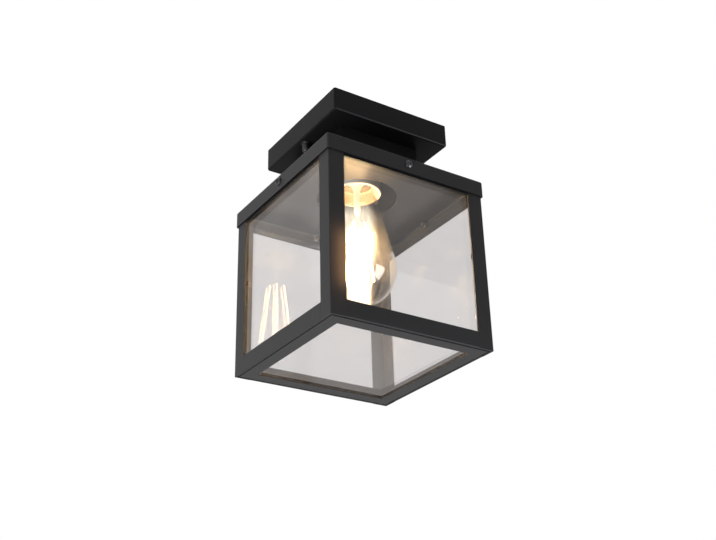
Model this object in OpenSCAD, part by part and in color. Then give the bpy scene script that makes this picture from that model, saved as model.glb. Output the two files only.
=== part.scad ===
// Porch ceiling lantern: a square glazed cage under a folded roof, hung from a ceiling canopy.
// The origin is the centre of the canopy's open top, on the ceiling. +Z is up, so the lantern
// hangs at negative Z. The front faces -Y, the back +Y, the left side -X and the right side +X.

/* [Cage] */
// Outside width of the cage, the same on all four sides
cage_w = 150; // [130:1:220]
// Height of the cage that shows under the roof's skirt
cage_h = 138.5; // [124:0.5:240]
// Width of each flange of the angle iron
flange_w = 14; // [10:0.5:20]
// Thickness of the angle iron
angle_t = 1.5; // [1:0.1:2.2]
// Radius on the outer corner of the angle iron
angle_corner_r = 0.8; // [0.3:0.1:0.9]
// How far the flat rail round the top of the cage sits below the tops of the posts
top_rail_set = 3; // [2:0.5:4]
// How far the top rail shows below the roof's skirt
top_rail_drop = 1.5; // [0:0.1:3]

/* [Glass] */
// Thickness of the panes
glass_t = 3; // [2:0.5:4]
// Clearance between a side pane and the angle iron
glass_gap = 0.2; // [0.1:0.05:0.5]
// Room left between the upright edges of two neighbouring panes
pane_corner_gap = 1.3; // [1:0.1:2]
// How far a side pane reaches up behind the top rail
pane_lap = 3.5; // [2:0.5:5]
// Clearance round the bottom pane
bottom_pane_gap = 0.5; // [0.3:0.1:1]

/* [Glass clips] */
// Height of the clips above the underside of the cage
clip_z = 82.5; // [40:0.5:110]
// Height of a clip
clip_h = 4; // [3:0.5:10]
// Thickness of a clip
clip_t = 1; // [0.6:0.1:1.5]
// Length of each leg of a clip, along its pane
clip_leg = 6.4; // [5:0.1:12]

/* [Roof, neck and canopy] */
// Thickness of the folded sheet
sheet_t = 1.2; // [0.8:0.1:1.5]
// Outside radius of the folds
fold_r = 1.6; // [1.6:0.1:2.5]
// Height of the roof's skirt
skirt_h = 14.5; // [13:0.5:20]
// Clearance between the roof and the cage
roof_gap = 0.3; // [0.2:0.1:0.8]
// Width of the square neck
neck_w = 77.5; // [72:0.5:90]
// Height of the neck between the roof and the canopy
neck_h = 39.5; // [38:0.5:60]
// Wall of the neck
neck_t = 1.5; // [1:0.1:2]
// Outside radius of the neck's upright corners
neck_corner_r = 3; // [2.5:0.5:5]
// Width of the canopy
canopy_w = 114; // [112:1:140]
// Height of the canopy
canopy_h = 21; // [19.5:0.5:30]
// Diameter of the round hole in the roof, under the lampholder
roof_hole_d = 69; // [50:0.5:70]

/* [Roof screws] */
// Nominal diameter of the roof screws
roof_screw_d = 4; // [3:0.5:4]
// Diameter of a roof screw's head
roof_head_d = 7; // [6:0.1:8]
// Height of a roof screw's head
roof_head_h = 2.6; // [2:0.1:3]
// Distance of the screws below the top of the roof
roof_screw_drop = 6.5; // [6.5:0.1:7]
// Width of the roof nuts across their flats
roof_nut_af = 7; // [6:0.1:8]
// Thickness of the roof nuts
roof_nut_h = 3.2; // [2:0.1:4]

/* [Ceiling bracket] */
// Room between each end of the bracket and the canopy's wall
bracket_room = 1.3; // [0.5:0.1:1.5]
// Width of the bracket
bracket_w = 20; // [16:1:30]
// Thickness of the bracket
bracket_t = 1.5; // [1:0.1:2]
// Length of each lowered end of the bracket
bracket_end_l = 11; // [10:0.5:12]
// How far the ends are lowered to keep the stud heads off the ceiling
bracket_step = 3; // [2.6:0.1:4]
// Distance between the centres of the two slots
slot_spacing = 60; // [50:1:60]
// Length of a slot, end to end
slot_l = 16; // [10:1:16]
// Width of a slot
slot_w = 4.6; // [4:0.1:6]
// Diameter of the cable hole in the middle of the bracket
cable_hole_d = 14; // [10:1:16]
// Distance of each stud from its end of the bracket
stud_inset = 4; // [4:0.1:4.5]
// Diameter of a stud
stud_d = 4; // [3:0.5:5]
// Length of a cap nut
cap_nut_h = 9.8; // [8:0.1:12]
// Diameter of a cap nut's body
cap_nut_d = 6.4; // [6:0.1:7]
// Diameter of a cap nut's flange
cap_nut_flange_d = 8.6; // [8:0.1:10]

/* [Lampholder] */
// Height of the bridge that holds the lampholder, above the canopy's floor
bridge_rise = 6.5; // [6:0.1:7]
// Outside diameter of the lampholder
holder_d = 42; // [40:0.5:44]
// Height of the lampholder
holder_h = 44.2; // [44:0.1:50]
// Wall of the lampholder at its rim
holder_wall = 2.5; // [2:0.1:3]
// Inside diameter of the screw shell, over the lamp cap
holder_shell_d = 27.2; // [27:0.1:27.4]
// Thickness of the screw shell
holder_shell_t = 0.5; // [0.3:0.1:0.6]
// Diameter of the threaded tube that holds the lampholder
nipple_d = 10; // [9:0.5:11]

/* [Lamp] */
// Largest diameter of the lamp's bulb
bulb_d = 64; // [60:0.5:65]
// Length of the lamp from its contact to its foot
bulb_l = 140.5; // [138:0.5:144]
// Length of the lamp's screw cap, with its insulator and contact
lamp_cap_l = 27; // [26:0.1:28]
// Clearance between the lamp's screw cap and the lampholder's screw shell
lamp_cap_gap = 0.4; // [0.2:0.05:0.6]
// How much wider the bulb is than its cap where it leaves it
bulb_neck_flare = 1.6; // [1:0.1:3]
// Thickness of the bulb's glass
bulb_glass_t = 0.9; // [0.6:0.1:1.2]
// Number of filaments
filament_n = 4; // [2:1:6]
// Length of a filament
filament_l = 60; // [40:1:66]
// Diameter of a filament
filament_d = 1.8; // [1.2:0.1:2.4]

/* [Hidden] */

// Smoothness of round forms, and of small round forms
$fn = 64;
small_fn = 32;
// How far a cut runs past the face that it opens
past = 1;

// Quarter turns from the front of the lantern to each of its sides
front = 0;
right = front + 1;
back = right + 1;
left = back + 1;
sides = [front, right, back, left];

// Heights, from the ceiling down
canopy_under = -canopy_h;
canopy_floor = canopy_under + sheet_t;
roof_top = canopy_under - neck_h;
roof_under = roof_top - sheet_t;
skirt_bottom = roof_top - skirt_h;
cage_top = roof_under - roof_gap;
cage_bottom = skirt_bottom - cage_h;
top_rail_bottom = skirt_bottom - top_rail_drop;
top_rail_top = cage_top - top_rail_set;
top_rail_h = top_rail_top - top_rail_bottom;

// The cage and its glass
cage_half = cage_w / 2;
inner_half = cage_half - angle_t;
flange_edge = cage_half - flange_w;
pane_outer = inner_half - glass_gap;
pane_inner = pane_outer - glass_t;
pane_half = pane_inner - pane_corner_gap;
bottom_pane_z = cage_bottom + angle_t;
pane_bottom = bottom_pane_z + glass_t;
pane_top = top_rail_bottom + pane_lap;
clip_gap = 0.2;
clip_tongue_gap = 0.4;
clip_face = pane_inner - clip_gap;
clip_end = clip_face - clip_leg;
clip_root = pane_half + clip_tongue_gap;

// The roof
roof_half = cage_half + roof_gap + sheet_t;
roof_screw_z = roof_top - roof_screw_drop;
roof_screw_end = 1.5;
roof_screw_room = 0.3;
roof_nut_outer = inner_half - roof_gap;
roof_nut_inner = roof_nut_outer - roof_nut_h;
thread_gap = 0.05;
skirt_hole_gap = 0.2;
roof_skirt_hole_d = roof_screw_d + 2 * skirt_hole_gap;
rail_slot_w = roof_screw_d + 2 * roof_screw_room;
head_edge_share = 0.35;
recess_w = 1.1;
recess_l = 4;
recess_depth = 1.4;

// The ceiling bracket and its studs
bracket_l = canopy_w - 2 * sheet_t - 2 * bracket_room;
stud_spacing = bracket_l - 2 * stud_inset;
end_start = bracket_l / 2 - bracket_end_l;
bend_run = 4;
stud_head_d = 7.6;
stud_head_h = 2;
stud_top = -bracket_step;
lock_nut_af = 7;
lock_nut_h = 3;
cap_nut_flange_h = 1.2;
cap_nut_wall = 2;
stud_bottom = canopy_under - cap_nut_h + cap_nut_wall;
stud_hole_gap = 0.3;
stud_hole_d = stud_d + 2 * stud_hole_gap;

// The lampholder
holder_top = canopy_floor + bridge_rise;
holder_rim = holder_top - holder_h;
holder_skirt_h = 11;
holder_step = holder_rim + holder_skirt_h;
holder_cap_t = 2;
core_top = holder_top - holder_cap_t;
core_t = 4;
core_under = core_top - core_t;
core_gap = 0.9;
contact_t = 0.5;
contact_w = 7;
contact_l = 20;
contact_under = core_under - core_gap - contact_t;
contact_gap = 0.3;
lamp_tip = contact_under - contact_gap;
holder_shoulder_d = 34;
holder_shoulder_h = 9;
shell_seat_gap = 0.1;
core_d = holder_shell_d + 2 * holder_shell_t;
shell_seat_d = core_d + 2 * shell_seat_gap;
shell_slot_drop = 3;
shell_slot_start = lamp_tip - shell_slot_drop;
shell_slot_gap = 0.7;
shell_slot_w = contact_w + 2 * shell_slot_gap;
nipple_bore_d = 7.2;
nipple_gap = 0.2;
nipple_hole_d = nipple_d + 2 * nipple_gap;
nipple_nut_af = 14;
nipple_nut_h = 2.8;
nipple_stand = 0.6;
bridge_under = holder_top;
bridge_top = bridge_under + sheet_t;
nipple_top = bridge_top + nipple_nut_h + nipple_stand;
canopy_hole_gap = 1.5;
canopy_hole_d = holder_d + 2 * canopy_hole_gap;

// The bridge over the canopy's hole, and what stands on it
rivet_d = 3.2;
rivet_head_d = 5.2;
rivet_head_h = 1;
rivet_gap = 0.05;
rivet_to_neck = 2.6;
rivet_to_fold = 3.3;
rivet_to_edge = 5.7;
rivet_y = neck_w / 2 - neck_t - rivet_head_d / 2 - rivet_to_neck;
bridge_w = 22;
bridge_slope = 3;
bridge_foot = rivet_y - rivet_to_fold;
bridge_half = bridge_foot - bridge_slope;
bridge_back = -(rivet_y + rivet_to_edge);
bridge_room = 1.5;
bridge_front = canopy_w / 2 - sheet_t - bridge_room;
plate_top = canopy_floor + sheet_t;
block_poles = 3;
pole_pitch = 8.6;
block_l = block_poles * pole_pitch;
block_w = 14;
block_h = 9.5;
block_y = bridge_front - block_w / 2;
block_foot_h = 4;
block_tower_w = 7;
block_shoulder_h = 7.4;
tube_d = 4.4;
tube_bore_d = 2.8;
tube_l = 12;
tube_gap = 0.1;
tube_rise = 5;
tube_z = plate_top + tube_rise;
block_screw_d = 2.6;
block_screw_gap = 0.15;
block_screw_head_d = 3.4;
block_well_gap = 0.1;
block_screw_well_d = block_screw_head_d + 2 * block_well_gap;
block_screw_head_h = 1.6;
pole_screw_d = 2.8;
pole_screw_h = 3.4;
pole_screw_gap = 0.1;
pole_screw_slot_w = 0.6;
pole_screw_slot_h = 0.6;
pole_well_d = 3.6;
earth_d = 4;
earth_tip = 1;
earth_gap = 0.7;
earth_y = -(holder_shoulder_d / 2 + earth_gap + earth_d / 2);
earth_head_d = 7.4;
earth_head_h = 2.4;
lug_t = 0.8;
lug_eye_d = 8;
lug_tail_w = 3.5;
lug_l = 9;

// Leads inside the canopy, with the points of their routes in round numbers
lead_d = 2.2;
lead_faces = 8;
lead_steps = 4;
lead_start = core_top - 3;
lead_side = 1.5;
lead_high = nipple_top + 4;
lead_bend = block_y - block_w / 2 - 3;
lead_in = block_y + 1.5;
live_route = [
    [-lead_side, 0, lead_start], [-lead_side, 0, nipple_top - 2], [-lead_side, 1.5, lead_high - 1],
    [-lead_side - 1, 7, lead_high], [-7, 18, lead_high], [-pole_pitch, 27, lead_high - 3],
    [-pole_pitch, lead_bend, tube_z], [-pole_pitch, lead_in, tube_z]
];
neutral_route = [
    [lead_side, 0, lead_start], [lead_side, 0, nipple_top - 2], [lead_side, 1.5, lead_high - 1],
    [lead_side, 7, lead_high], [0.8, 18, lead_high], [0, 27, lead_high - 3],
    [0, lead_bend, tube_z], [0, lead_in, tube_z]
];
earth_lead_gap = 0.3;
earth_lift = lug_t + lead_d / 2 + earth_lead_gap;
earth_route = [
    [0, earth_y + 6.5, bridge_top + earth_lift], [3, earth_y + 9, bridge_top + earth_lift + 0.6],
    [9.5, earth_y + 14, bridge_top + 3], [12.5, 6, bridge_top + 3.5], [12, 20, bridge_top + 3],
    [pole_pitch, bridge_half + 4.5, bridge_top - 0.5], [pole_pitch, lead_bend, tube_z],
    [pole_pitch, lead_in, tube_z]
];

// The lamp: a ball with a straight cone up to its neck
bulb_r = bulb_d / 2;
ball_z = lamp_tip - bulb_l + bulb_r;
lamp_contact_h = 1.6;
lamp_contact_d = 9.5;
insulator_h = 3.4;
insulator_d = 21;
insulator_tip_d = lamp_contact_d + 1;
insulator_neck_gap = 0.1;
bulb_cap_d = holder_shell_d - 2 * lamp_cap_gap;
bulb_neck_d = bulb_cap_d + bulb_neck_flare;
cap_bottom = lamp_tip - lamp_cap_l;
cap_mouth_flare = 0.6;
cap_mouth_d = bulb_cap_d + cap_mouth_flare;
cap_shoulder_h = 2.4;
cap_t = 0.4;
cap_eye_d = insulator_d - 2;
cap_top = lamp_tip - lamp_contact_h - insulator_h;
bulb_lip = 1;
bulb_neck_z = cap_bottom - bulb_lip;
throat_gap = 0.2;
throat_d = bulb_cap_d - 2 * cap_t - 2 * throat_gap;
throat_h = 6;
throat_top = cap_bottom + throat_h;
stem_gap = 0.05;
stem_foot_d = throat_d - 2 * bulb_glass_t - 2 * stem_gap;
stem_foot_h = 12;
stem_d = 6;
stem_l = 24;
stem_bottom = throat_top - stem_foot_h - stem_l;
filament_drop = 7;
filament_top = stem_bottom - filament_drop;
filament_top_r = 6.5;
filament_bottom_r = 13.5;
filament_lean = asin((filament_bottom_r - filament_top_r) / filament_l);
filament_bottom = filament_top - filament_l * cos(filament_lean);
filament_turn = 30;
wire_d = 0.7;
wire_fn = 16;
mast_end = 1;

// ---- shapes that repeat ----

// A square with rounded corners
module rounded_square(width, corner_r) {
    flat = width - 2 * corner_r;
    square([flat, width], center = true);
    square([width, flat], center = true);
    for (x = [-1, 1], y = [-1, 1])
        translate([x * flat / 2, y * flat / 2]) circle(corner_r);
}

// A square block standing on its folded end: its upright corners and lower edges are rounded
module folded_block(width, height, corner_r) {
    flat = width - 2 * corner_r;
    intersection() {
        linear_extrude(height) rounded_square(width, corner_r);
        for_both_ways() translate([0, 0, -width / 2]) linear_extrude(width) union() {
            translate([-width / 2, corner_r]) square([width, height - corner_r]);
            translate([-flat / 2, 0]) square([flat, height]);
            for (x = [-1, 1]) translate([x * flat / 2, corner_r]) circle(corner_r);
        }
    }
}

// The common part of a profile run along X and the same profile run along Y
module for_both_ways() {
    intersection() {
        rotate([90, 0, 90]) children();
        rotate([90, 0, 0]) children();
    }
}

// A tray folded from sheet, open at the top, with its outer faces at the given sizes
module folded_tray(width, height) {
    difference() {
        folded_block(width, height, fold_r);
        translate([0, 0, sheet_t])
            folded_block(width - 2 * sheet_t, height, fold_r - sheet_t);
    }
}

// The section of an angle iron, with its outer corner at the origin
module angle_section() {
    translate([angle_corner_r, 0]) square([flange_w - angle_corner_r, angle_t]);
    translate([0, angle_corner_r]) square([angle_t, flange_w - angle_corner_r]);
    translate([angle_corner_r, angle_corner_r]) circle(angle_corner_r, $fn = small_fn);
}

// Turns what is drawn for the front to another side
module on_side(side) {
    rotate([0, 0, 90 * side]) children();
}

// A hexagon nut standing on the origin
module hex_nut(across_flats, height, bore_d) {
    difference() {
        cylinder(d = across_flats / cos(30), h = height, $fn = 6);
        translate([0, 0, -past]) cylinder(d = bore_d, h = height + 2 * past, $fn = small_fn);
    }
}

// A pan head standing on the origin, with a cross recess where it is asked for
module pan_head(head_d, head_h, cross) {
    edge_h = head_h * head_edge_share;
    dome_r = (pow(head_d / 2, 2) + pow(head_h - edge_h, 2)) / (2 * (head_h - edge_h));
    difference() {
        intersection() {
            cylinder(d = head_d, h = head_h);
            translate([0, 0, head_h - dome_r]) sphere(dome_r);
        }
        if (cross)
            for (turn = [0, 90])
                translate([0, 0, head_h]) rotate([0, 0, turn])
                    cube([recess_l, recess_w, 2 * recess_depth], center = true);
    }
}

// A round-ended slot cut, lying along X
module slot_cut(length, width, depth) {
    run = length - width;
    translate([0, 0, -past]) linear_extrude(depth + 2 * past) {
        square([run, width], center = true);
        for (x = [-1, 1]) translate([x * run / 2, 0]) circle(d = width, $fn = small_fn);
    }
}

// Points on a smooth curve through the route's points
function curve_point(a, b, c, d, t) =
    0.5 * (2 * b + (c - a) * t + (2 * a - 5 * b + 4 * c - d) * t * t
    + (3 * b - a - 3 * c + d) * t * t * t);
function smooth_route(route, steps) = [
    for (i = [0 : len(route) - 2], s = [0 : steps - 1])
        curve_point(route[max(i - 1, 0)], route[i], route[i + 1],
            route[min(i + 2, len(route) - 1)], s / steps),
    route[len(route) - 1]
];
function unit(v) = v / norm(v);
function heading(points, i) =
    unit(points[min(i + 1, len(points) - 1)] - points[max(i - 1, 0)]);

// An insulated lead: one tube along a route, with a ring of faces at each point
module lead(route) {
    points = smooth_route(route, lead_steps);
    last = len(points) - 1;
    ring_points = [
        for (i = [0 : last], k = [0 : lead_faces - 1])
            let (
                along = heading(points, i),
                across = unit(cross(along, [0.9, 0.31, 0.17])),
                over = cross(across, along),
                turn = 360 * k / lead_faces
            )
            points[i] + lead_d / 2 * (across * cos(turn) + over * sin(turn))
    ];
    side_faces = [
        for (i = [0 : last - 1], k = [0 : lead_faces - 1])
            let (
                next = (k + 1) % lead_faces,
                low = i * lead_faces,
                high = low + lead_faces
            )
            each [
                [low + k, high + k, high + next],
                [low + k, high + next, low + next]
            ]
    ];
    first_end = [for (k = [0 : lead_faces - 1]) k];
    last_end = [for (k = [0 : lead_faces - 1]) last * lead_faces + lead_faces - 1 - k];
    polyhedron(points = ring_points, faces = concat(side_faces, [first_end, last_end]));
}

// ---- ceiling bracket ----

module ceiling_bracket() {
    flat_half = end_start - bend_run;
    color("silver") difference() {
        rotate([90, 0, 0]) linear_extrude(bracket_w, center = true) polygon([
            [-bracket_l / 2, -bracket_step], [-end_start, -bracket_step], [-flat_half, 0],
            [flat_half, 0], [end_start, -bracket_step], [bracket_l / 2, -bracket_step],
            [bracket_l / 2, -bracket_step - bracket_t], [end_start, -bracket_step - bracket_t],
            [flat_half, -bracket_t], [-flat_half, -bracket_t],
            [-end_start, -bracket_step - bracket_t], [-bracket_l / 2, -bracket_step - bracket_t]
        ]);
        for (x = [-1, 1]) {
            translate([x * slot_spacing / 2, 0, -bracket_t]) slot_cut(slot_l, slot_w, bracket_t);
            translate([x * stud_spacing / 2, 0, -bracket_step - bracket_t - past])
                cylinder(d = stud_d + 2 * thread_gap, h = bracket_t + 2 * past, $fn = small_fn);
        }
        translate([0, 0, -bracket_t - past]) cylinder(d = cable_hole_d, h = bracket_t + 2 * past);
    }
}

module bracket_studs() {
    color("silver") for (x = [-1, 1]) translate([x * stud_spacing / 2, 0, 0]) {
        translate([0, 0, stud_bottom])
            cylinder(d = stud_d, h = stud_top - stud_bottom, $fn = small_fn);
        translate([0, 0, stud_top]) pan_head(stud_head_d, stud_head_h, false);
    }
}

module stud_lock_nuts() {
    color("silver") for (x = [-1, 1])
        translate([x * stud_spacing / 2, 0, -bracket_step - bracket_t - lock_nut_h])
            hex_nut(lock_nut_af, lock_nut_h, stud_d + 2 * thread_gap);
}

// ---- canopy ----

module canopy() {
    color("#26262a") difference() {
        translate([0, 0, canopy_under]) folded_tray(canopy_w, canopy_h);
        translate([0, 0, canopy_under - past])
            cylinder(d = canopy_hole_d, h = sheet_t + 2 * past);
        for (x = [-1, 1]) translate([x * stud_spacing / 2, 0, canopy_under - past])
            cylinder(d = stud_hole_d, h = sheet_t + 2 * past, $fn = small_fn);
        for (y = [-1, 1]) translate([0, y * rivet_y, canopy_under - past])
            cylinder(d = rivet_d + 2 * rivet_gap, h = sheet_t + 2 * past, $fn = small_fn);
    }
}

module canopy_cap_nuts() {
    body_h = cap_nut_h - cap_nut_d / 2;
    color("#303034") for (x = [-1, 1])
        translate([x * stud_spacing / 2, 0, canopy_under]) mirror([0, 0, 1]) difference() {
            union() {
                cylinder(d = cap_nut_flange_d, h = cap_nut_flange_h, $fn = small_fn);
                cylinder(d = cap_nut_d, h = body_h, $fn = small_fn);
                translate([0, 0, body_h]) sphere(d = cap_nut_d, $fn = small_fn);
            }
            translate([0, 0, -past])
                cylinder(d = stud_d + 2 * thread_gap, h = past + cap_nut_h - cap_nut_wall,
                    $fn = small_fn);
        }
}

// ---- what stands inside the canopy ----

module holder_bridge() {
    color("silver") difference() {
        translate([-bridge_w / 2, 0, 0]) rotate([90, 0, 90]) linear_extrude(bridge_w) polygon([
            [bridge_back, canopy_floor], [-bridge_foot + sheet_t / 2, canopy_floor],
            [-bridge_half + sheet_t / 2, bridge_under], [bridge_half - sheet_t / 2, bridge_under],
            [bridge_foot - sheet_t / 2, canopy_floor], [bridge_front, canopy_floor],
            [bridge_front, plate_top], [bridge_foot + sheet_t / 2, plate_top],
            [bridge_half + sheet_t / 2, bridge_top], [-bridge_half - sheet_t / 2, bridge_top],
            [-bridge_foot - sheet_t / 2, plate_top], [bridge_back, plate_top]
        ]);
        translate([0, 0, bridge_under - past]) cylinder(d = nipple_hole_d, h = sheet_t + 2 * past);
        for (y = [-1, 1]) translate([0, y * rivet_y, canopy_floor - past])
            cylinder(d = rivet_d + 2 * rivet_gap, h = sheet_t + 2 * past, $fn = small_fn);
        translate([0, earth_y, bridge_under - past])
            cylinder(d = earth_d + 2 * thread_gap, h = sheet_t + 2 * past, $fn = small_fn);
        translate([pole_pitch / 2, block_y, canopy_floor - past])
            cylinder(d = block_screw_d + 2 * thread_gap, h = sheet_t + 2 * past, $fn = small_fn);
    }
}

module bridge_rivets() {
    color("gray") for (y = [-1, 1]) translate([0, y * rivet_y, 0]) {
        translate([0, 0, canopy_under]) cylinder(d = rivet_d, h = 2 * sheet_t, $fn = small_fn);
        translate([0, 0, plate_top]) pan_head(rivet_head_d, rivet_head_h, false);
        translate([0, 0, canopy_under]) mirror([0, 0, 1])
            pan_head(rivet_head_d, rivet_head_h, false);
    }
}

module terminal_block() {
    color("ivory") difference() {
        translate([0, block_y, plate_top]) union() {
            translate([-block_l / 2, -block_w / 2, 0]) cube([block_l, block_w, block_foot_h]);
            for (i = [0 : block_poles - 1])
                translate([(i - (block_poles - 1) / 2) * pole_pitch, 0, 0]) {
                    translate([-block_tower_w / 2, -block_w / 2, 0])
                        cube([block_tower_w, block_w, block_shoulder_h]);
                    translate([-block_tower_w / 2, -block_w / 4, 0])
                        cube([block_tower_w, block_w / 2, block_h]);
                }
        }
        for (i = [0 : block_poles - 1])
            translate([(i - (block_poles - 1) / 2) * pole_pitch, block_y, 0]) {
                translate([0, block_w / 2 + past, tube_z]) rotate([90, 0, 0])
                    cylinder(d = tube_d + 2 * tube_gap, h = block_w + 2 * past, $fn = small_fn);
                translate([0, 0, tube_z])
                    cylinder(d = pole_well_d, h = block_h, $fn = small_fn);
            }
        translate([pole_pitch / 2, block_y, plate_top - past])
            cylinder(d = block_screw_d + 2 * block_screw_gap, h = block_foot_h + 2 * past,
                $fn = small_fn);
        translate([pole_pitch / 2, block_y, plate_top + block_foot_h])
            cylinder(d = block_screw_well_d, h = block_h, $fn = small_fn);
    }
}

module terminal_tubes() {
    color("goldenrod") for (i = [0 : block_poles - 1])
        translate([(i - (block_poles - 1) / 2) * pole_pitch, block_y, tube_z]) difference() {
            translate([0, tube_l / 2, 0]) rotate([90, 0, 0])
                cylinder(d = tube_d, h = tube_l, $fn = small_fn);
            translate([0, tube_l / 2 + past, 0]) rotate([90, 0, 0])
                cylinder(d = tube_bore_d, h = tube_l + 2 * past, $fn = small_fn);
            cylinder(d = pole_screw_d + 2 * thread_gap, h = tube_d, $fn = small_fn);
        }
}

module terminal_screws() {
    screw_foot = tube_z + lead_d / 2 + pole_screw_gap;
    color("silver") for (i = [0 : block_poles - 1])
        translate([(i - (block_poles - 1) / 2) * pole_pitch, block_y, screw_foot]) difference() {
            cylinder(d = pole_screw_d, h = pole_screw_h, $fn = small_fn);
            translate([0, 0, pole_screw_h])
                cube([pole_screw_d + past, pole_screw_slot_w, 2 * pole_screw_slot_h], center = true);
        }
}

module terminal_block_screw() {
    color("silver") translate([pole_pitch / 2, block_y, canopy_floor]) {
        cylinder(d = block_screw_d, h = plate_top + block_foot_h - canopy_floor, $fn = small_fn);
        translate([0, 0, plate_top + block_foot_h - canopy_floor])
            pan_head(block_screw_head_d, block_screw_head_h, false);
    }
}

module earth_screw() {
    color("silver") translate([0, earth_y, 0]) {
        translate([0, 0, bridge_under - earth_tip])
            cylinder(d = earth_d, h = earth_tip + sheet_t + lug_t, $fn = small_fn);
        translate([0, 0, bridge_top + lug_t]) pan_head(earth_head_d, earth_head_h, true);
    }
}

module earth_lug() {
    color("goldenrod") translate([0, earth_y, bridge_top]) difference() {
        union() {
            cylinder(d = lug_eye_d, h = lug_t, $fn = small_fn);
            translate([-lug_tail_w / 2, 0, 0]) cube([lug_tail_w, lug_l, lug_t]);
        }
        translate([0, 0, -past])
            cylinder(d = earth_d + 2 * thread_gap, h = lug_t + 2 * past, $fn = small_fn);
    }
}

module live_lead() {
    color("saddlebrown") lead(live_route);
}

module neutral_lead() {
    color("steelblue") lead(neutral_route);
}

module earth_lead() {
    color("yellowgreen") lead(earth_route);
}

// ---- neck and roof ----

module neck_box() {
    color("#1c1c1e") translate([0, 0, roof_top]) linear_extrude(neck_h) difference() {
        rounded_square(neck_w, neck_corner_r);
        rounded_square(neck_w - 2 * neck_t, neck_corner_r - neck_t);
    }
}

module roof_cap() {
    color("#323236") difference() {
        translate([0, 0, roof_top]) mirror([0, 0, 1]) folded_tray(2 * roof_half, skirt_h);
        translate([0, 0, roof_under - past]) cylinder(d = roof_hole_d, h = sheet_t + 2 * past);
        for (side = sides) on_side(side)
            translate([0, -roof_half + sheet_t + past, roof_screw_z]) rotate([90, 0, 0])
                cylinder(d = roof_skirt_hole_d, h = sheet_t + 2 * past, $fn = small_fn);
    }
}

module roof_screws() {
    shank_l = roof_half - roof_nut_inner + roof_screw_end;
    color("#101012") for (side = sides) on_side(side)
        translate([0, -roof_half, roof_screw_z]) rotate([90, 0, 0]) {
            translate([0, 0, -shank_l]) cylinder(d = roof_screw_d, h = shank_l, $fn = small_fn);
            pan_head(roof_head_d, roof_head_h, true);
        }
}

module roof_screw_nuts() {
    color("#18181a") for (side = sides) on_side(side)
        translate([0, -roof_nut_inner, roof_screw_z]) rotate([90, 0, 0])
            hex_nut(roof_nut_af, roof_nut_h, roof_screw_d + 2 * thread_gap);
}

// ---- lampholder ----

module lampholder_body() {
    color("#e9e4d8") difference() {
        union() {
            translate([0, 0, holder_rim])
                cylinder(d = holder_d, h = holder_top - holder_shoulder_h - holder_rim);
            translate([0, 0, holder_top - holder_shoulder_h])
                cylinder(d1 = holder_d, d2 = holder_shoulder_d, h = holder_shoulder_h);
        }
        translate([0, 0, holder_rim - past])
            cylinder(d = holder_d - 2 * holder_wall, h = holder_skirt_h + past);
        translate([0, 0, holder_step - past])
            cylinder(d = shell_seat_d, h = core_top - holder_step + past);
        translate([0, 0, core_top - past]) cylinder(d = nipple_hole_d, h = holder_cap_t + 2 * past);
    }
}

module lampholder_core() {
    color("#f2efe8") difference() {
        translate([0, 0, core_under]) cylinder(d = core_d, h = core_t);
        translate([0, 0, lead_start]) cylinder(d = nipple_bore_d, h = core_t);
    }
}

module lampholder_shell() {
    color("goldenrod") difference() {
        translate([0, 0, holder_step])
            cylinder(d = core_d, h = core_under - holder_step);
        translate([0, 0, holder_step - past])
            cylinder(d = holder_shell_d, h = core_under - holder_step + 2 * past);
        translate([-shell_slot_w / 2, 0, shell_slot_start])
            cube([shell_slot_w, holder_shell_d, core_under - shell_slot_start + past]);
    }
}

module lampholder_contact() {
    color("peru") {
        translate([-contact_w / 2, -contact_l / 2, contact_under])
            cube([contact_w, contact_l, contact_t]);
        translate([-contact_w / 2, contact_l / 2 - contact_t, contact_under])
            cube([contact_w, contact_t, core_under - contact_under]);
    }
}

module lampholder_nipple() {
    color("silver") translate([0, 0, core_top]) difference() {
        cylinder(d = nipple_d, h = nipple_top - core_top);
        translate([0, 0, -past]) cylinder(d = nipple_bore_d, h = nipple_top - core_top + 2 * past);
    }
}

module nipple_nut() {
    color("silver") translate([0, 0, bridge_top])
        hex_nut(nipple_nut_af, nipple_nut_h, nipple_d + 2 * thread_gap);
}

// ---- cage ----

module corner_post(side) {
    color("#2e2e32") on_side(side) translate([-cage_half, -cage_half, cage_bottom])
        linear_extrude(cage_top - cage_bottom) angle_section();
}

module bottom_rail(side) {
    color("#343438") on_side(side) {
        translate([-flange_edge, -cage_half, cage_bottom]) cube([2 * flange_edge, angle_t, flange_w]);
        translate([0, 0, cage_bottom]) linear_extrude(angle_t) polygon([
            [-inner_half, -inner_half], [inner_half, -inner_half],
            [flange_edge, -flange_edge], [-flange_edge, -flange_edge]
        ]);
    }
}

module top_rail(side) {
    color("#2e2e32") on_side(side) difference() {
        translate([-flange_edge, -cage_half, top_rail_bottom])
            cube([2 * flange_edge, angle_t, top_rail_h]);
        translate([0, -cage_half + angle_t + past, roof_screw_z]) rotate([90, 0, 0])
            cylinder(d = rail_slot_w, h = angle_t + 2 * past, $fn = small_fn);
        translate([-rail_slot_w / 2, -cage_half - past, roof_screw_z])
            cube([rail_slot_w, angle_t + 2 * past, top_rail_top - roof_screw_z + past]);
    }
}

module side_glass(side) {
    color("#d8d8d6", 0.35) on_side(side)
        translate([-pane_half, -pane_outer, pane_bottom])
            cube([2 * pane_half, glass_t, pane_top - pane_bottom]);
}

module bottom_glass() {
    pane_w = 2 * (inner_half - bottom_pane_gap);
    color("#d8d8d6", 0.35) translate([-pane_w / 2, -pane_w / 2, bottom_pane_z])
        cube([pane_w, pane_w, glass_t]);
}

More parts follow.
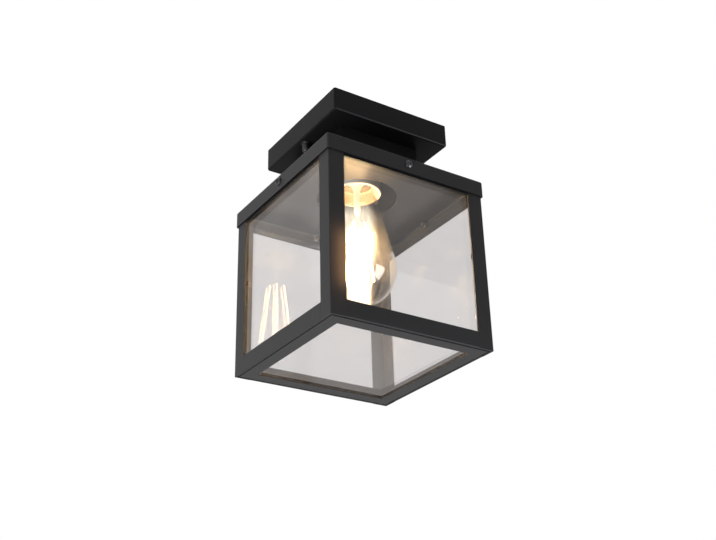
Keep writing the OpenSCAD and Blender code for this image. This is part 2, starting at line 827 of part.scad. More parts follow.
module glass_clips() {
    color("#202022") for (side = sides) on_side(side)
        translate([0, 0, cage_bottom + clip_z - clip_h / 2]) linear_extrude(clip_h) {
            translate([-clip_face, -clip_face]) square([clip_face - clip_end, clip_t]);
            translate([-clip_face, -clip_face]) square([clip_t, clip_face - clip_end]);
            translate([-inner_half, -inner_half])
                square([inner_half - clip_root, inner_half - clip_root]);
        }
}

// ---- lamp ----

// A ball and, revolved, the cone that touches it, the lip and the throat inside the cap. All are
// smaller by a wall, and the throat goes a wall higher, so the inner one leaves its top open.
module teardrop(wall) {
    ball_r = bulb_r - wall;
    neck_r = bulb_neck_d / 2 - wall;
    throat_r = throat_d / 2 - wall;
    rise = bulb_neck_z - ball_z;
    reach = sqrt(rise * rise + neck_r * neck_r);
    touch = atan2(neck_r, rise) + acos(ball_r / reach);
    touch_z = ball_z + ball_r * cos(touch);
    translate([0, 0, ball_z]) sphere(ball_r);
    rotate_extrude() polygon([
        [0, touch_z], [ball_r * sin(touch), touch_z], [neck_r, bulb_neck_z],
        [throat_r, cap_bottom], [throat_r, throat_top + wall], [0, throat_top + wall]
    ]);
}

module lamp_bulb() {
    color("#f0ead8", 0.3) difference() {
        teardrop(0);
        teardrop(bulb_glass_t);
    }
}

module lamp_stem() {
    color("#e8eceb", 0.5) {
        translate([0, 0, throat_top - stem_foot_h])
            cylinder(d1 = stem_d, d2 = stem_foot_d, h = stem_foot_h);
        translate([0, 0, stem_bottom]) cylinder(d = stem_d, h = stem_l);
    }
}

module lamp_filaments() {
    color("#ffd27a") for (i = [0 : filament_n - 1])
        rotate([0, 0, filament_turn + 360 * i / filament_n])
            translate([filament_top_r, 0, filament_top]) rotate([0, 180 - filament_lean, 0])
                cylinder(d = filament_d, h = filament_l, $fn = small_fn);
}

module lamp_wires() {
    mast_bottom = filament_bottom - mast_end;
    color("gray") {
        translate([0, 0, mast_bottom])
            cylinder(d = wire_d, h = stem_bottom - mast_bottom, $fn = wire_fn);
        for (i = [0 : filament_n - 1]) rotate([0, 0, filament_turn + 360 * i / filament_n]) {
            translate([0, 0, filament_top + wire_d]) rotate([0, 90, 0])
                cylinder(d = wire_d, h = filament_top_r + wire_d, $fn = wire_fn);
            translate([0, 0, filament_bottom - wire_d]) rotate([0, 90, 0])
                cylinder(d = wire_d, h = filament_bottom_r + wire_d, $fn = wire_fn);
        }
    }
}

module lamp_cap() {
    color("silver") difference() {
        union() {
            translate([0, 0, cap_bottom + cap_shoulder_h])
                cylinder(d = bulb_cap_d, h = cap_top - cap_bottom - cap_shoulder_h);
            translate([0, 0, cap_bottom])
                cylinder(d1 = cap_mouth_d, d2 = bulb_cap_d, h = cap_shoulder_h);
        }
        translate([0, 0, cap_bottom - past])
            cylinder(d = bulb_cap_d - 2 * cap_t, h = cap_top - cap_bottom + past - cap_t);
        translate([0, 0, cap_top - past]) cylinder(d = cap_eye_d, h = 2 * past);
    }
}

module lamp_insulator() {
    color("#151515") {
        translate([0, 0, cap_top]) cylinder(d1 = insulator_d, d2 = insulator_tip_d, h = insulator_h);
        translate([0, 0, cap_top - cap_t])
            cylinder(d = cap_eye_d - 2 * insulator_neck_gap, h = cap_t);
    }
}

module lamp_contact() {
    color("gainsboro") translate([0, 0, lamp_tip - lamp_contact_h])
        pan_head(lamp_contact_d, lamp_contact_h, false);
}

ceiling_bracket();
bracket_studs();
stud_lock_nuts();
canopy();
canopy_cap_nuts();
holder_bridge();
bridge_rivets();
terminal_block();
terminal_tubes();
terminal_screws();
terminal_block_screw();
earth_screw();
earth_lug();
live_lead();
neutral_lead();
earth_lead();
neck_box();
roof_cap();
roof_screws();
roof_screw_nuts();
lampholder_body();
lampholder_core();
lampholder_shell();
lampholder_contact();
lampholder_nipple();
nipple_nut();
corner_post(front);  // corner_post_front_left
corner_post(right);  // corner_post_front_right
corner_post(back);  // corner_post_back_right
corner_post(left);  // corner_post_back_left
bottom_rail(front);  // bottom_rail_front
bottom_rail(back);  // bottom_rail_back
bottom_rail(left);  // bottom_rail_left
bottom_rail(right);  // bottom_rail_right
top_rail(front);  // top_rail_front
top_rail(back);  // top_rail_back
top_rail(left);  // top_rail_left
top_rail(right);  // top_rail_right
side_glass(front);  // side_glass_front
side_glass(back);  // side_glass_back
side_glass(left);  // side_glass_left
side_glass(right);  // side_glass_right
bottom_glass();
glass_clips();
lamp_contact();
lamp_insulator();
lamp_cap();
lamp_bulb();
lamp_stem();
lamp_filaments();
lamp_wires();
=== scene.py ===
"""Porch ceiling lantern: the finish of every surface, and the shown shapes, round the fixed frame.

Lengths are metres in the frame's own axes: the origin is on the ceiling, in the middle of the
canopy, +Z is up, the front faces -Y and the left side -X. Sizes come from the frame's boxes where
it has them, and the rest are named where they are used.
"""

import math
from functools import cache, partialmethod

import bmesh
import bpy
import numpy as np
from bpy.props import FloatProperty, FloatVectorProperty, IntProperty, PointerProperty
from mathutils import Matrix, Vector


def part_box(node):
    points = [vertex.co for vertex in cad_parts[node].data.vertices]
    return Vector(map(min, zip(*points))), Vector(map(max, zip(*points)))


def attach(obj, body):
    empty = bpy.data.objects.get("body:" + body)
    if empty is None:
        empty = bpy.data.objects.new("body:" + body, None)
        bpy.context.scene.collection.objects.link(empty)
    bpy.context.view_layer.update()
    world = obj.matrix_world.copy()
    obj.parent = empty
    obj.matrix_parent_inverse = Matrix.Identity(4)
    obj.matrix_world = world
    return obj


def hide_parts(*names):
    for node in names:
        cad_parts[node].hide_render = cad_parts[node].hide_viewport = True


bl_info = {
    "name": "Porch Ceiling Lantern",
    "version": (1, 0, 0),
    "blender": (4, 5, 0),
    "location": "View3D > Sidebar > Lantern",
    "description": "Dresses a square glazed ceiling lantern round its fixed frame",
    "category": "Object",
}

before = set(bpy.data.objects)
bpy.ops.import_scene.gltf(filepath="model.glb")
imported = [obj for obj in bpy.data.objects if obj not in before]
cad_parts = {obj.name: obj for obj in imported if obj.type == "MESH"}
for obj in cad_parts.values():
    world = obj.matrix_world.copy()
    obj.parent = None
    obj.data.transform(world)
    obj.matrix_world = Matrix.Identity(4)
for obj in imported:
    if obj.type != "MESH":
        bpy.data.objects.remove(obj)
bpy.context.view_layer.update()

MM = 0.001
SIDES = ("front", "right", "back", "left")
CORNERS = ("front_left", "front_right", "back_right", "back_left")
TOP, CAGE, TIP, LAMP = "lantern_top", "glass_cage", "lamp_tip", "lamp"
CORNER_STEPS = 3  # steps in a softened corner, which then has one point more
PICTURE_WIDTH = 36.0  # mm, the width that the camera's focal length is for
LOOK_AT = (0, 0, -0.11)  # middle of the lantern, which the soft lights point at


def low(node):
    """Lowest corner of a frame node."""
    return np.array(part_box(node)[0])


def high(node):
    """Highest corner of a frame node."""
    return np.array(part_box(node)[1])


def heights(node):
    """Heights of a frame node's lowest and highest points."""
    return low(node)[2], high(node)[2]


def reach(node):
    """How far a frame node reaches from the lantern's axis along +X."""
    return high(node)[0]


# ---- Sizes and colours that a user would change ----


class LanternSizes(bpy.types.PropertyGroup):
    edge: FloatProperty(
        name="Edge radius", default=0.3 * MM, unit="LENGTH",
        description="Radius that the cut edges of the steel have under their coat")
    fold: FloatProperty(
        name="Fold radius", default=1.6 * MM, unit="LENGTH",
        description="Outside radius of the folds in the canopy and the roof")
    arris: FloatProperty(
        name="Pane arris", default=0.4 * MM, unit="LENGTH",
        description="Width of the ground edge round a pane")
    thread_pitch: FloatProperty(
        name="Lamp thread pitch", default=3.63 * MM, unit="LENGTH",
        description="Rise of the lamp's thread in one turn")
    arc_steps: IntProperty(
        name="Arc steps", default=5, min=2,
        description="Steps in a quarter turn of a rounded edge")
    round_steps: IntProperty(
        name="Round steps", default=96, min=24,
        description="Steps round a turned piece")


class LanternFinishes(bpy.types.PropertyGroup):
    coat: FloatVectorProperty(
        name="Powder coat", default=(0.036, 0.035, 0.0365), subtype="COLOR",
        description="Colour of the black powder coat")
    coat_roughness: FloatProperty(
        name="Powder coat roughness", default=0.42, subtype="FACTOR",
        description="Roughness of the black powder coat")
    coat_sheen: FloatProperty(
        name="Powder coat sheen", default=0.085, subtype="FACTOR",
        description="Strength of the black powder coat's reflections")
    pane_tint: FloatVectorProperty(
        name="Pane tint", default=(0.908, 0.9, 0.899), subtype="COLOR",
        description="Light that one face of a pane lets through")
    bulb_tint: FloatVectorProperty(
        name="Bulb tint", default=(0.965, 0.935, 0.885), subtype="COLOR",
        description="Light that one face of the bulb's glass lets through")
    glow: FloatVectorProperty(
        name="Filament glow", default=(1.0, 0.72, 0.4), subtype="COLOR",
        description="Colour of the lit filaments")
    glow_strength: FloatProperty(
        name="Filament strength", default=620.0,
        description="Radiance with which the lit filaments light the lantern")
    glow_seen: FloatProperty(
        name="Filament brightness", default=40.0,
        description="Radiance of the lit filaments as they are seen and mirrored")
    # The haze is a painted glow in the bulb's glass, seen by the camera alone.
    painted_glow_strength: FloatProperty(
        name="Haze strength", default=8.0,
        description="Radiance of the haze that the lit filaments make in the bulb's glass")


class LanternStage(bpy.types.PropertyGroup):
    camera_place: FloatVectorProperty(
        name="Camera place", default=(-0.4543, -0.6833, -0.5299), subtype="XYZ", unit="LENGTH",
        description="Where the camera stands")
    camera_heading: FloatProperty(
        name="Camera heading", default=math.radians(56.4303), subtype="ANGLE",
        description="Turn of the camera from +X towards +Y")
    camera_rise: FloatProperty(
        name="Camera rise", default=math.radians(26.0237), subtype="ANGLE",
        description="How far the camera looks up")
    camera_roll: FloatProperty(
        name="Camera roll", default=math.radians(-1.56), subtype="ANGLE",
        description="Turn of the camera about its own line of sight")
    camera_lens: FloatProperty(
        name="Camera lens", default=55.083,
        description="Focal length for a picture 36 mm wide")
    world_level: FloatProperty(
        name="World level", default=0.115,
        description="Brightness of the soft light that comes from everywhere")
    key_power: FloatProperty(
        name="Key light power", default=29.5, unit="POWER",
        description="Power of the large soft light at the lower left")
    fill_power: FloatProperty(
        name="Fill light power", default=1.2, unit="POWER",
        description="Power of the small soft light low at the right, which lines the lower folds")
    window_power: FloatProperty(
        name="Window light power", default=66.0, unit="POWER",
        description="Power of the small light at the right, which the bulb mirrors")
    glare_power: FloatProperty(
        name="Glare light power", default=0.013, unit="POWER",
        description="Power of the strip that stands for the lamp's glare on the near post")
    floor_drop: FloatProperty(
        name="Floor drop", default=1.5, unit="LENGTH",
        description="How far the floor lies under the ceiling")


# What the user has set in the sidebar.
def sizes():
    return bpy.context.scene.lantern_sizes


def finishes():
    return bpy.context.scene.lantern_finishes


def stage():
    return bpy.context.scene.lantern_stage


# ---- Surfaces ----


def quarter_turns(count):
    """Turns about Z by count quarters, as a matrix."""
    c, s = round(math.cos(count * math.pi / 2)), round(math.sin(count * math.pi / 2))
    return np.array([[c, -s, 0], [s, c, 0], [0, 0, 1.0]])


def rounded_square(half, corner, arc_steps, side_steps):
    """Outline of a square with round corners: on each side a straight run, then a quarter circle
    whose centre is set in from both sides by its radius. The other sides are turns of it."""
    turn = np.linspace(0, math.pi / 2, arc_steps + 1)
    centre = half - corner
    arc = centre + corner * np.stack([np.cos(turn), np.sin(turn)], -1)
    run = np.linspace(-centre, centre, side_steps + 1)[1:-1]
    side = np.concatenate([np.stack([np.full_like(run, half), run], -1), arc])
    return np.concatenate([side @ quarter_turns(k)[:2, :2].T for k in range(4)])


def on_circle(outline, radius):
    """Each point of an outline moved straight out or in until it lies on a circle."""
    return outline * (radius / np.linalg.norm(outline, axis=1))[:, None]


def raised(outline, z):
    """A flat outline lifted to a height."""
    return np.column_stack([outline, np.full(len(outline), z)])


def soften(points, radius, steps=CORNER_STEPS):
    """An outline with its corners rounded: each corner becomes the curve from a point a radius
    before it to a point a radius after it, pulled towards the corner by the square of the way."""
    points = np.asarray(points, float)
    radius = np.broadcast_to(np.asarray(radius, float), len(points))[:, None]
    back = np.roll(points, 1, 0) - points
    ahead = np.roll(points, -1, 0) - points
    most_of_side = 0.49
    before, after = (np.linalg.norm(side, axis=1)[:, None] for side in (back, ahead))
    cut = np.minimum(radius, most_of_side * np.minimum(before, after))
    first, last = points + back / before * cut, points + ahead / after * cut
    way = np.linspace(0, 1, steps + 1)[None, :, None]
    curve = (1 - way) ** 2 * first[:, None] + 2 * way * (1 - way) * points[:, None]
    return (curve + way**2 * last[:, None]).reshape(-1, 2)


def inset(outline, depth):
    """A closed outline drawn in by a depth: each point moves along the sum of its two sides'
    inward directions, divided by one plus their product, or by a least share at sharp points."""
    least = 0.3
    side = np.roll(outline, -1, 0) - outline
    inward = np.stack([-side[:, 1], side[:, 0]], -1) / np.linalg.norm(side, axis=1)[:, None]
    before = np.roll(inward, 1, 0)
    share = 1 + (before * inward).sum(1, keepdims=True)
    return outline + depth * (before + inward) / np.maximum(share, least)


def ring_faces(rings, count, loop):
    """Quads between neighbouring rings of count points each, as rows of point numbers."""
    row, col = np.meshgrid(np.arange(rings if loop else rings - 1), np.arange(count), indexing="ij")
    after, beside = (row + 1) % rings, (col + 1) % count
    corners = [row * count + col, row * count + beside, after * count + beside, after * count + col]
    return np.stack(corners, -1).reshape(-1, 4)


def signed_volume(points, faces):
    """Volume inside closed faces: the sum of the tetrahedra from the origin to each face's
    triangles. It is below zero where the faces point inwards."""
    total = 0.0
    for size in {len(face) for face in faces}:
        same = np.array([face for face in faces if len(face) == size])
        first = points[same[:, 0]]
        for k in range(1, size - 1):
            second, third = points[same[:, k]], points[same[:, k + 1]]
            total += float((first * np.cross(second, third)).sum()) / 6
    return total


class Shell:
    """Points and faces that grow part by part and end as one mesh."""

    def __init__(self):
        self.points = []
        self.faces = []
        self.count = 0

    def add(self, points, faces):
        """Takes one closed part and turns its faces outwards."""
        points = np.asarray(points, float).reshape(-1, 3)
        faces = [list(face) for face in faces]
        if signed_volume(points, faces) < 0:
            faces = [face[::-1] for face in faces]
        self.faces += [[self.count + k for k in face] for face in faces]
        self.points.append(points)
        self.count += len(points)
        return self

    def rings(self, rings, loop=False, caps=None):
        """Skin over rings of points. Loop joins the last ring to the first. Otherwise both ends
        are closed, by one face each or by the faces that caps lists as point numbers."""
        rings = np.asarray(rings, float)
        rows, count = rings.shape[:2]
        faces = ring_faces(rows, count, loop).tolist()
        if not loop:
            caps = caps or [list(range(count))]
            faces += [cap[::-1] for cap in caps]
            faces += [[(rows - 1) * count + k for k in cap] for cap in caps]
        return self.add(rings.reshape(-1, 3), faces)

    def turned(self, profile, steps, place=None, wave=None):
        """A profile of radius and height turned about Z, then moved by the matrix of its place.
        Ends on the axis close in a point. A wave is added to the radius: it takes the turn and the
        height of every point at once."""
        profile, on_axis = np.asarray(profile, float), 1e-9
        axis = profile[:, 0] < on_axis
        body = profile[~axis]
        turn = np.arange(steps) * 2 * math.pi / steps
        radius = body[:, 0][:, None] + (wave(turn[None, :], body[:, 1][:, None]) if wave else 0)
        height = np.broadcast_to(body[:, 1][:, None], (len(body), steps))
        points = np.stack([radius * np.cos(turn), radius * np.sin(turn), height], -1).reshape(-1, 3)
        closed = not (axis[0] or axis[-1])
        faces = ring_faces(len(body), steps, closed).tolist()
        beside = (np.arange(steps) + 1) % steps
        if axis[0]:
            pole = len(points)
            points = np.vstack([points, [0, 0, profile[0, 1]]])
            faces += [[pole, int(b), a] for a, b in enumerate(beside)]
        if axis[-1]:
            pole = len(points)
            start = (len(body) - 1) * steps
            points = np.vstack([points, [0, 0, profile[-1, 1]]])
            faces += [[pole, start + a, start + int(b)] for a, b in enumerate(beside)]
        if place is not None:
            points = points @ place[:3, :3].T + place[:3, 3]
        return self.add(points, faces)

    def prism(self, outline, depth, axes, edge, steps=CORNER_STEPS):
        """An outline carried along a straight line, with its two end edges rounded: towards an end
        the outline draws in by one minus the sine of a turn and advances by one minus its cosine.
        Axes are the outline's origin, its two directions and the direction of the depth."""
        outline = np.asarray(outline, float)
        after = np.roll(outline, -1, 0)
        if (outline[:, 0] * after[:, 1] - outline[:, 1] * after[:, 0]).sum() < 0:
            outline = outline[::-1]
        turn = np.linspace(0, math.pi / 2, steps + 1)
        drawn_in = edge * (1 - np.sin(turn))
        advance = edge * (1 - np.cos(turn))
        origin, across, up, along = (np.array(a, float) for a in axes)
        levels = list(zip(drawn_in, advance))
        levels += [(d, depth - a) for d, a in levels[::-1]]
        rings = []
        for d, a in levels:
            flat = inset(outline, d)
            rings.append(origin + flat[:, :1] * across + flat[:, 1:] * up + a * along)
        return self.rings(rings)

    def tube(self, route, radius, sides):
        """A round tube along a route: at each point a circle lies square to the route's heading,
        turned from one fixed direction so that neighbouring circles match."""
        route = np.asarray(route, float)
        heading = np.gradient(route, axis=0)
        heading /= np.linalg.norm(heading, axis=1)[:, None]
        fixed = (0.9, 0.31, 0.17)
        across = np.cross(heading, fixed)
        across /= np.linalg.norm(across, axis=1)[:, None]
        over = np.cross(across, heading)
        turn = (np.arange(sides) * 2 * math.pi / sides)[None, :, None]
        circle = across[:, None] * np.cos(turn) + over[:, None] * np.sin(turn)
        return self.rings(route[:, None] + radius * circle)

    def piece(self, name, body, maker, slot, node, turn=0, smooth=35.0):
        """The finished piece, which stands for a frame node and rides on its body."""
        points = np.vstack(self.points) @ quarter_turns(turn).T
        mesh = bpy.data.meshes.new(name)
        mesh.from_pydata(points.tolist(), [], self.faces)
        mesh.validate()
        return dressed(name, mesh, body, maker, slot, node, smooth)


def dressed(name, mesh, body, maker, slot, node, smooth):
    """An object for a mesh, with its finish, its shading, its body and the node it stands for."""
    mesh.shade_smooth()
    mesh.set_sharp_from_angle(angle=math.radians(smooth))
    mesh.materials.clear()
    mesh.materials.append(maker())
    made = bpy.data.objects.new(name, mesh)
    bpy.context.scene.collection.objects.link(made)
    even = made.modifiers.new("even_normals", "WEIGHTED_NORMAL")
    even.keep_sharp = True
    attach(made, body)
    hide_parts(node)
    return made


def finished_copy(node, name, body, maker, slot, edge, smooth=35.0):
    """A copy of a frame node with its points merged and its edges, where it has any, rounded."""
    same_place, flat = 1e-6, math.radians(0.5)
    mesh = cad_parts[node].data.copy()
    work = bmesh.new()
    work.from_mesh(mesh)
    bmesh.ops.remove_doubles(work, verts=work.verts, dist=same_place)
    bmesh.ops.dissolve_limit(work, angle_limit=flat, verts=work.verts, edges=work.edges)
    work.to_mesh(mesh)
    work.free()
    made = dressed(name, mesh, body, maker, slot, node, smooth)
    if edge:
        bevel = made.modifiers.new("rounded_edges", "BEVEL")
        bevel.width = edge
        bevel.segments = 2
        bevel.limit_method = "ANGLE"
        bevel.angle_limit = math.radians(smooth)
        made.modifiers.move(1, 0)


def finished_set(kinds):
    """A finished copy of each node in a table of finish, slot and edge radius in millimetres. All
    of them belong to the lantern's fixed top."""
    for node, (maker, slot, edge) in kinds.items():
        finished_copy(node, node + "_finished", TOP, maker, slot, edge * MM)


def arc(centre, radius, start, end, steps):
    """Points of radius and height on an arc about a centre, from one angle to another."""
    turn = np.radians(np.linspace(start, end, steps + 1))
    return np.column_stack([centre[0] + radius * np.cos(turn), centre[1] + radius * np.sin(turn)])


def smooth_route(points, steps):
    """A smooth curve through points: between two neighbours, the cubic whose slopes are half the
    way between the points on either side."""
    points = np.asarray(points, float)
    ends = np.vstack([points[:1], points, points[-1:]])
    a, b, c, d = (ends[k:len(ends) - 3 + k][:, None] for k in range(4))
    t = np.linspace(0, 1, steps, endpoint=False)[None, :, None]
    curve = 0.5 * (2 * b + (c - a) * t + (2 * a - 5 * b + 4 * c - d) * t**2
                   + (3 * b - a - 3 * c + d) * t**3)
    return np.vstack([curve.reshape(-1, 3), points[-1:]])


# ---- Shader maths ----


class Signal:
    """What one shader socket gives. Python's operators on it add the Math nodes: by puts the other
    value second, and into puts it first, which the reflected forms need."""

    def __init__(self, board, socket):
        self.board = board
        self.socket = socket

    def by(self, operation, other):
        return self.board.maths(operation, self, other)

    def into(self, operation, other):
        return self.board.maths(operation, other, self)

    __add__, __radd__ = partialmethod(by, "ADD"), partialmethod(into, "ADD")
    __sub__, __rsub__ = partialmethod(by, "SUBTRACT"), partialmethod(into, "SUBTRACT")
    __mul__, __rmul__ = partialmethod(by, "MULTIPLY"), partialmethod(into, "MULTIPLY")
    __truediv__, __rtruediv__ = partialmethod(by, "DIVIDE"), partialmethod(into, "DIVIDE")
    __pow__, __rpow__ = partialmethod(by, "POWER"), partialmethod(into, "POWER")
    at_least, at_most = partialmethod(by, "MAXIMUM"), partialmethod(by, "MINIMUM")

    def kept_in(self):
        """The value kept between 0 and 1."""
        return self.at_least(0.0).at_most(1.0)


class Board:
    """Builds one node tree. Node takes a node's type, its settings and its sockets' values."""

    def __init__(self, tree):
        self.tree = tree
        tree.nodes.clear()

    def node(self, kind, settings=None, sockets=None, outlet=0):
        made = self.tree.nodes.new("ShaderNode" + kind)
        for name, value in (settings or {}).items():
            setattr(made, name, value)
        for name, value in (sockets or {}).items():
            if isinstance(value, Signal):
                self.tree.links.new(value.socket, made.inputs[name])
            else:
                made.inputs[name].default_value = value
        return Signal(self, made.outputs[outlet]) if made.outputs else made

    def maths(self, operation, left, right):
        """What a Math node gives for two values."""
        return self.node("Math", {"operation": operation}, {0: left, 1: right})

    def vectors(self, operation, *values, outlet=0):
        """What a Vector Math node gives for its vectors."""
        return self.node("VectorMath", {"operation": operation}, dict(enumerate(values)), outlet)

    def size_of(self, value):
        """A value without its sign."""
        return self.maths("ABSOLUTE", value, 0.0)

    def below(self, value, limit):
        """1 where a value is under a limit, and 0 elsewhere."""
        return self.maths("LESS_THAN", value, limit)

    def place(self):
        """Object coordinates."""
        return self.node("TexCoord", outlet="Object")

    def along(self, axis):
        """Object coordinate along the axis of a number: 0 for X, 1 for Y, 2 for Z."""
        return self.node("SeparateXYZ", {}, {"Vector": self.place()}, axis)

    def level(self):
        """Object coordinates flattened to the height 0."""
        return self.vectors("MULTIPLY", self.place(), (1, 1, 0))

    def stretched(self, scale):
        """Object coordinates scaled along each axis."""
        return self.node("Mapping", {}, {"Vector": self.place(), "Scale": scale})

    def noise(self, scale, detail=2.0, vector=None, roughness=0.5):
        """A cloud of values round a half, with a number of features to the metre."""
        return self.node("TexNoise", {}, {
            "Vector": vector or self.place(), "Scale": scale,
            "Detail": detail, "Roughness": roughness,
        })

    def colours(self, factor, first, second):
        """A mix of two colours."""
        mixed = {0: factor, 6: first, 7: second}
        return self.node("Mix", {"data_type": "RGBA"}, mixed, 2)

    def bump(self, height, distance, strength=1.0):
        """The normal of a surface that a height raises by up to a distance."""
        return self.node("Bump", {}, {"Height": height, "Distance": distance, "Strength": strength})

    def shown(self):
        """1 for what the camera, a reflection or a glass shows, and 0 for what lights a surface."""
        rays = [self.node("LightPath", outlet="Is %s Ray" % kind)
                for kind in ("Camera", "Glossy", "Transmission")]
        return rays[0].at_least(rays[1]).at_least(rays[2])

    def facing(self):
        """0 where the surface faces the eye and 1 at its edge."""
        return self.node("LayerWeight", {}, {"Blend": 0.5}, "Facing")

    def upright_facing(self):
        """The same for an upright tube through the point, round the object's Z axis."""
        settings = {"vector_type": "NORMAL", "convert_from": "OBJECT", "convert_to": "WORLD"}
        way = self.vectors("NORMALIZE", self.level())
        turned = self.node("VectorTransform", settings, {"Vector": way})
        return self.node("LayerWeight", {}, {"Blend": 0.5, "Normal": turned}, "Facing")

    def surface(self, **sockets):
        """A Principled shader. Underscores in the names stand for spaces."""
        named = {name.replace("_", " "): value for name, value in sockets.items()}
        return self.node("BsdfPrincipled", {}, named)

    def mix(self, factor, first, second):
        """A mix of two shaders."""
        return self.node("MixShader", {}, {0: factor, 1: first, 2: second})

    def end(self, shader, kind="OutputMaterial"):
        """Gives the shader to the tree's output."""
        self.node(kind, {}, {"Surface": shader})


def rgba(colour, share=1.0):
    """A share of a colour, with the fourth number that a socket asks for."""
    return (*[share * part for part in colour], 1.0)


def material(name, lights=True):
    """Turns a function that draws a shader on a board into a maker, which gives the material and
    makes it once. Where lights is false, the material's glow isn't sampled as a light."""

    def wrap(draw):
        @cache
        def maker():
            made = bpy.data.materials.new(name)
            made.use_nodes = True
            if not lights:
                made.cycles.emission_sampling = "NONE"
            board = Board(made.node_tree)
            board.end(draw(board))
            return made

        return maker

    return wrap


def coat_shader(board, share=1.0, sheen=1.0):
    """Fine black powder coat: a faint peel, a little uneven in gloss, with rare dust specks."""
    # A share or sheen under one darkens or dulls the coat; where callers use that, it is painted
    # shade.
    colour = [share * part for part in finishes().coat]
    peel = board.noise(900.0, 2.0)
    waves = board.noise(90.0, 2.0)
    cloud = board.noise(22.0, 3.0)
    dust = (board.noise(2600.0, 1.0) - 0.72).at_least(0.0) * 3.0
    tone = board.colours(cloud, rgba(colour, 0.85), rgba(colour, 1.15))
    return board.surface(
        Base_Color=board.colours(dust.at_most(1.0), tone, rgba(colour, 2.0)),
        Roughness=finishes().coat_roughness + (cloud - 0.5) * 0.12 + (peel - 0.5) * 0.06,
        Specular_IOR_Level=finishes().coat_sheen * sheen,
        Normal=board.bump(peel + waves * 1.5, 0.00002, 0.35),
    )


@material("powder_coat_black")
def powder_coat(board):
    """The coat of the cage."""
    return coat_shader(board)


@material("powder_coat_painted_shade")
def painted_shade_coat(board):
    """The cage's coat, darkened and dulled on the canopy, neck and top rails as painted shade,
    where the roof keeps light from them; their real coat is the same.
    """
    return coat_shader(board, share=0.25, sheen=0.72)


@material("roof_coat")
def roof_coat(board):
    """The powder coat outside. Inside, the bare sheet shows its rolling marks under a thin lacquer:
    a point is inside where it lies more than half a sheet in from every outer face. The cut edge
    round the mouth is darker and duller: painted shade for the gap over the panes."""
    half_sheet, edge = 0.6 * MM, 0.2 * MM
    mouth, top = heights("roof_cap")
    side = board.size_of(board.along(0)).at_least(board.size_of(board.along(1)))
    inside = board.below(side, reach("roof_cap") - half_sheet)
    inside = inside * board.below(board.along(2), top - half_sheet)
    mouth_edge_shade = board.below(board.along(2), mouth + edge)
    cloud = board.noise(22.0, 3.0)
    streaks = board.noise(30.0, 2.0, board.stretched((1.0, 8.0, 1.0)))
    # Darker, duller coat along the mouth's edge: painted shade.
    coat = board.mix(mouth_edge_shade, coat_shader(board), coat_shader(board, share=0.2, sheen=0.1))
    sheet = board.surface(
        Base_Color=board.colours(streaks, (0.002, 0.0014, 0.001, 1), (0.0035, 0.0026, 0.002, 1)),
        Roughness=0.29 + (cloud - 0.5) * 0.04 + (streaks - 0.5) * 0.025,
        Specular_IOR_Level=0.6,
    )
    return board.mix(inside, coat, sheet)


def clear_sheet(board, tint, edge_tint):
    """Smooth glass face: light goes straight through a tint that deepens towards the edge of
    sight, and a mirror takes over as four hundredths plus the rest by the fifth power."""
    facing, straight_on = board.facing(), 0.04
    through = board.mix(
        facing ** 3.0,
        board.node("BsdfTransparent", {}, {"Color": rgba(tint)}),
        board.node("BsdfTransparent", {}, {"Color": rgba(edge_tint)}),
    )
    mirror = board.surface(Base_Color=(1, 1, 1, 1), Metallic=1.0, Roughness=0.0)
    return board.mix(straight_on + (1 - straight_on) * facing ** 5.0, through, mirror)


@material("pane_glass")
def pane_glass(board):
    """Window glass with a faint grey tint and a light film of dust."""
    tint = finishes().pane_tint
    glass = clear_sheet(board, tint, [part**2 for part in tint])
    smear = (board.noise(14.0, 4.0, board.stretched((1.0, 1.0, 3.0)), 0.6) - 0.52).at_least(0.0)
    film, thickest = board.surface(Base_Color=(0.75, 0.73, 0.7, 1), Roughness=0.7), 0.03
    return board.mix((smear * 0.12).at_most(thickest), glass, film)


@material("bulb_glass", lights=False)
def bulb_glass(board):
    """Clear glass, with a painted glow for the camera alone that stands for the glare round the lit
    filaments. A point's distance aside from the lamp's axis, as the eye sees it, is its distance
    from the axis by the sine of its turn away. The glow is one over one plus the twelfth power of
    that distance in half widths, and the half width falls by the square of the way up or down from
    the filaments' middle. A faint wide glow lies round it, and both fade at the neck."""
    tint = finishes().bulb_tint
    glass = clear_sheet(board, tint, [part**2 for part in tint])
    height = board.along(2)
    radius = board.vectors("LENGTH", board.level(), outlet="Value")
    band = ((1.0 - board.upright_facing()) / 0.9).at_most(1.0)
    aside = radius * (1.0 - band * band) ** 0.5

    middle, half_length = low("lamp_filaments")[2] + 51 * MM, 40 * MM
    widest, narrowest = 14.5 * MM, 8.5 * MM
    half_width = widest - widest * ((height - middle) / half_length) ** 2.0
    core = 1.0 / (1.0 + (aside / half_width.at_least(narrowest)) ** 12.0)

    clear_end, wide_fade = low("lamp_bulb")[2] + 26 * MM, 20 * MM
    neck, neck_fade = high("lamp_bulb")[2] - 32 * MM, 16 * MM
    wide = ((height - clear_end) / wide_fade).kept_in()
    fade = ((neck - height) / neck_fade).kept_in()
    streaks = board.noise(220.0, 3.0, board.stretched((1.0, 1.0, 0.12)), 0.6)
    core_share, wide_share = 0.07, 0.0045
    glare = core_share * core * (0.2 + streaks * 1.6) + wide_share * wide * (streaks * 2.0)
    # Painted glow: light from the glass itself, for the glare round the lit filaments.
    painted_glow = board.surface(
        Base_Color=(0.8, 0.75, 0.65, 1),
        Roughness=1.0,
        Emission_Color=board.colours(core, rgba(finishes().glow), (1.0, 0.88, 0.68, 1)),
        Emission_Strength=finishes().painted_glow_strength,
    )
    direct = board.node("LightPath", outlet="Is Camera Ray")
    return board.mix(direct * fade * glare, glass, painted_glow)


